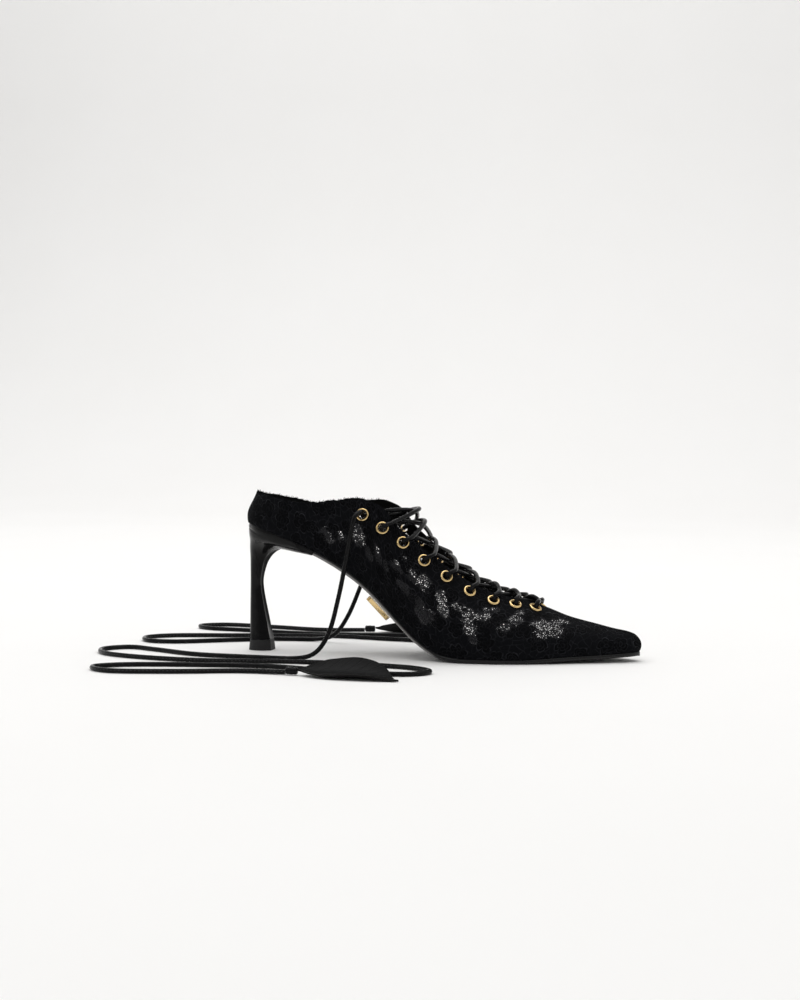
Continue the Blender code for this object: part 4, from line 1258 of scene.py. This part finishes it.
def sole_row(last, p):
    """One cross-section of the sole: side walls, rounded edges and a crowned underside.
    Each point comes with the share of painted reflection on the waist's bevel that it shows."""
    down, slope = last.down(p)
    edges = [last.feather(side, p) for side in SIDES]
    waist = soft_step(slope, 0.15, 0.55)
    bevel = min(SOLE_BEVEL + WAIST_BEVEL * waist, 0.3 * (edges[1] - edges[0]).length / 2)
    walls = []
    for side, edge in zip(SIDES, edges):
        inward = -last.out(side, p)
        wall = [edge + GAP * down + SOLE_TOP_EDGE * inward, edge + (GAP + SOLE_TOP_EDGE) * down]
        for k in range(SOLE_EDGE_STEPS + 1):
            angle = pi / 2 * k / SOLE_EDGE_STEPS
            wall.append(edge + (TREAD_TO_FEATHER - bevel + bevel * sin(angle)) * down
                        + bevel * (1 - cos(angle)) * inward)
        walls.append(wall)
    belly = []
    for k in range(1, SOLE_BELLY_STEPS):
        share = k / SOLE_BELLY_STEPS
        crown = waist_crown(slope) * (1 - (2 * share - 1) ** 2)
        belly.append(walls[0][-1].lerp(walls[1][-1], share) + crown * down)
    row = [*walls[0], *belly, *walls[1][::-1]]
    for point in row:
        point.z = max(point.z, 0.0)
    # Share of painted reflection at each point, on the waist's bevel
    light = [0.0, 0.0, 0.0]
    light += [waist * soft_step(k, 0.0, 2.0) for k in range(1, SOLE_EDGE_STEPS + 1)]
    return row, [*light, *[0.0] * len(belly), *light[::-1]]


def build_outsole(last, material):
    start = last.place_along(LIP_ALONG) + GAP / last.reach
    rows = []
    data = []
    for p in even_places(last, start, OUTSOLE_END, SOLE_STEP):
        row, light = sole_row(last, p)
        rows.append(row)
        # The third number is the share of painted reflection on the waist's bevel
        data.append([(p * last.reach / MM, point.y / MM, share) for point, share in zip(row, light)])
    add_solid("leather_sole", rows, material, 50, "sole_leather", "outsole", data=data)


def build_sole_plate(last, material):
    """A blank plate under the waist with round corners and a raised rim."""
    centre_p = last.place_along(PLATE_ALONG)
    outline = []
    for angle in turns(PLATE_STEPS):
        reach_x = (PLATE_LENGTH / 2 - PLATE_CORNER) * (1 if cos(angle) > 0 else -1)
        reach_y = (PLATE_WIDTH / 2 - PLATE_CORNER) * (1 if sin(angle) > 0 else -1)
        outline.append((reach_x + PLATE_CORNER * cos(angle), reach_y + PLATE_CORNER * sin(angle)))
    levels = ((1.0, 0.0), (1.0, 0.90), (0.985, 0.97), (0.96, 1.0), (0.90, 1.0), (0.87, 0.96),
              (0.85, 0.90), (0.6, 0.90), (0.3, 0.90), (0.02, 0.90))
    rows = []
    for spread, rise in levels:
        row = []
        for x, y in outline:
            inset = (1 - spread) * PLATE_WIDTH / 2 * (x / abs(x)) * min(1.0, abs(x) / PLATE_END)
            p = centre_p + (x - inset if spread > 0.5 else x * spread) / last.reach
            row.append(plate_point(last, p, PLATE_ACROSS + y * spread, rise))
        rows.append(row)
    add_solid("blank_gold_plate", rows, material, 30, "pale_gold", "sole_plate")


def plate_point(last, p, across, rise):
    """A point over the sole's underside at p, a share of the plate's thickness out."""
    down, slope = last.down(p)
    lateral, medial = [last.feather(side, p) + TREAD_TO_FEATHER * down for side in SIDES]
    middle = (lateral + medial) / 2
    half = (medial.y - lateral.y) / 2
    drop = waist_crown(slope) * (1 - ((across - middle.y) / half) ** 2)
    return Vector((middle.x, across, middle.z)) + (drop + GAP + rise * PLATE_THICKNESS) * down


# Heel

def round_back(q, rounding):
    """Half width of a ring at q of its length, as a share of its widest."""
    reach = min(q / rounding, 1.0)
    return (1 - (1 - reach) ** HEEL_REAR_ROUND) ** (1 / HEEL_REAR_ROUND)


def ring_points(half_lateral, half_medial, spot, hollow=0.0):
    """Points of a ring: half widths at each step from the back, then the front edge, which
    is hollowed out by a depth in the middle."""
    shares = [(k / RING_SIDE_STEPS) ** RING_CROWDING for k in range(1, RING_SIDE_STEPS + 1)]
    points = [spot(q, -half_lateral(q)) for q in shares[::-1]]
    points.append(spot(0.0, 0.0))
    points += [spot(q, half_medial(q)) for q in shares]
    for k in range(1, RING_FRONT_STEPS):
        share = 1 - 2 * k / RING_FRONT_STEPS
        width = half_medial(1.0) if share > 0 else half_lateral(1.0)
        back = hollow * (1 - share ** 2)
        points.append(spot(1.0, share * width) - Vector((back, 0.0, 0.0)))
    return points


def heel_seat_ring(last, depth):
    """The heel's top edge, a depth below the feather edge and as wide as it."""
    lip = last.place_along(LIP_ALONG)

    def half(side):
        return lambda q: side * last.feather(side, lip * q).y - SEAT_INSET * (1 - q)

    def spot(q, y):
        down, _ = last.down(max(lip * q, 0.02))
        point = last.middle(lip * q) + depth * down
        return Vector((point.x + SEAT_INSET * (1 - q), y, point.z))

    return ring_points(half(LATERAL), half(MEDIAL), spot)


def heel_ring(last, row):
    """A ring of the heel below its seat, from one row of the table."""
    seat_length = LIP_ALONG * FEATHER_LENGTH
    rise = HEEL_RISE + TREAD_TO_FEATHER - HEEL_BASE
    widest = -row.half_width * last.feather(LATERAL, last.place_along(LIP_ALONG)).y
    back = Vector((X_BACK + row.back * seat_length, 0.0, HEEL_BASE + row.back_rise * rise))
    front = Vector((X_BACK + row.front * seat_length, 0.0, HEEL_BASE + row.front_rise * rise))

    def half(q):
        taper = 1 - (1 - row.corner) * max(0.0, (q - 0.5) / 0.5) ** 2
        return widest * round_back(q, row.rounding) * taper

    def spot(q, y):
        drop = row.crown * WAIST_CROWN * q * (1 - (y / widest) ** 2)
        return back + q * (front - back) + Vector((0.0, y, -drop))

    hollow = BREAST_HOLLOW * widest * (1 - row.crown) ** 2 * min(1.0, 4 * row.back_rise)
    return ring_points(half, half, spot, hollow)


def build_heel(last, material):
    """Many rings between the heel's main ones, joined by smooth curves."""
    rings = [heel_ring(last, row) for row in HEEL_TABLE]
    rings.append(heel_seat_ring(last, TREAD_TO_FEATHER))
    knots = [row.back_rise for row in HEEL_TABLE] + [1.0]
    columns = [SmoothTable(knots, column) for column in zip(*rings)]
    rows = []
    for before, after in zip(knots, knots[1:]):
        steps = max(4, round((after - before) * HEEL_STEPS))
        for k in range(steps):
            t = before + (after - before) * k / steps
            rows.append([Vector(column.at(t)) for column in columns])
    rows += [rings[-1], heel_seat_ring(last, GAP)]
    add_solid("gloss_heel", rows, material, 42, "gloss_black", "heel")


def build_top_piece(last, material):
    """The tread of the heel, a little wider at the floor."""
    foot = heel_ring(last, HEEL_TABLE[0])
    centre_x = sum(point.x for point in foot) / len(foot)
    rows = []
    for share, inset in ((0.0, 0.985), (0.04, 1.0), (0.5, 1.0), (0.96, 1.0), (1.0, 0.985)):
        spread = (TOP_PIECE_SPREAD + (1 - TOP_PIECE_SPREAD) * share) * inset
        rows.append([Vector((centre_x + (point.x - centre_x) * spread, point.y * spread,
                             point.z - HEEL_BASE + share * TOP_PIECE_HEIGHT)) for point in foot])
    add_solid("heel_tread", rows, material, 40, "dark_rubber", "heel_top_piece")


# Floor and light

def build_stage():
    """A pale floor that curves up into the wall behind."""
    profile = [(-FLOOR_REACH, 0.0), (-0.4, 0.0), (0.3, 0.0), (1.0, 0.0), (WALL_DISTANCE, 0.0)]
    for k in range(1, WALL_STEPS + 1):
        angle = pi / 2 * k / WALL_STEPS
        profile.append((WALL_DISTANCE + WALL_ROUND * sin(angle), WALL_ROUND - WALL_ROUND * cos(angle)))
    profile.append((WALL_DISTANCE + WALL_ROUND, WALL_TOP))
    points = [(x, y, z) for y, z in profile for x in (-FLOOR_REACH, FLOOR_REACH)]
    faces = [(2 * k, 2 * k + 1, 2 * k + 3, 2 * k + 2) for k in range(len(profile) - 1)]
    floor = mesh_from("pale_floor", points, faces)
    nodes = Material("studio_floor", (0.90, 0.895, 0.885), 0.7)
    cloud = nodes.noise(nodes.place_in_mm(), 0.004)
    colour = nodes.mix(cloud, (0.885, 0.88, 0.87), (0.91, 0.905, 0.90))
    floor.materials.append(nodes.finish(colour, specular=0.2))
    floor.shade_smooth()
    add_object("pale_floor", floor)


def add_area(name, position, target, size, power):
    """A soft lamp that points at the target."""
    light = bpy.data.lights.new(name, "AREA")
    light.shape = "RECTANGLE"
    light.size, light.size_y = size
    light.energy = power
    item = add_object(name, light)
    item.location = position
    item.rotation_mode = "QUATERNION"
    item.rotation_quaternion = (Vector(target) - Vector(position)).to_track_quat("-Z", "Y")


def build_light():
    """A bright room that is dimmer low on the camera's side, and large soft lamps."""
    world = bpy.data.worlds.new("studio")
    world.use_nodes = True
    bpy.context.scene.world = world
    nodes = Nodes(world.node_tree)
    _, y, z = nodes.parts(nodes.add("ShaderNodeTexCoord", (), "Generated"))
    background = world.node_tree.nodes["Background"]
    nodes.feed(background.inputs["Color"], (1.0, 0.995, 0.985))
    nodes.feed(background.inputs["Strength"], nodes.ramp(z + y, -0.75, 0.25, 0.30, 0.78))
    add_area("top_light", (0.1, -0.1, 1.8), (0.0, 0.0, 0.0), (1.8, 1.4), 10)
    add_area("wall_light", (-0.7, 0.9, 2.4), (-0.7, 2.2, 0.6), (2.4, 0.8), 21)
    add_area("front_light", (-0.9, -1.3, 1.1), (0.0, 0.0, 0.05), (0.7, 0.5), 1.5)


make_camera()
build_stage()
build_light()
bpy.context.scene.view_settings.view_transform = "Standard"

cord = make_cord_material()
leaf_leather = make_leaf_material()
cloth = make_lace_material()
lining = make_lining_material()
gold = make_gold_material()

last = Last()
eyelets = eyelet_frames(last)
for side in SIDES:
    build_tie(eyelets, side, cord, leaf_leather)
build_laces(eyelets, cord)
build_upper(last, eyelets, cloth, lining)
build_fringe(last, cloth)
build_eyelets(eyelets, gold)
build_outsole(last, make_sole_material())
build_sole_plate(last, gold)
build_heel(last, make_gloss_material())
build_top_piece(last, make_rubber_material())

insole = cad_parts["insole"]
insole.data.materials.clear()
insole.data.materials.append(make_insole_material())
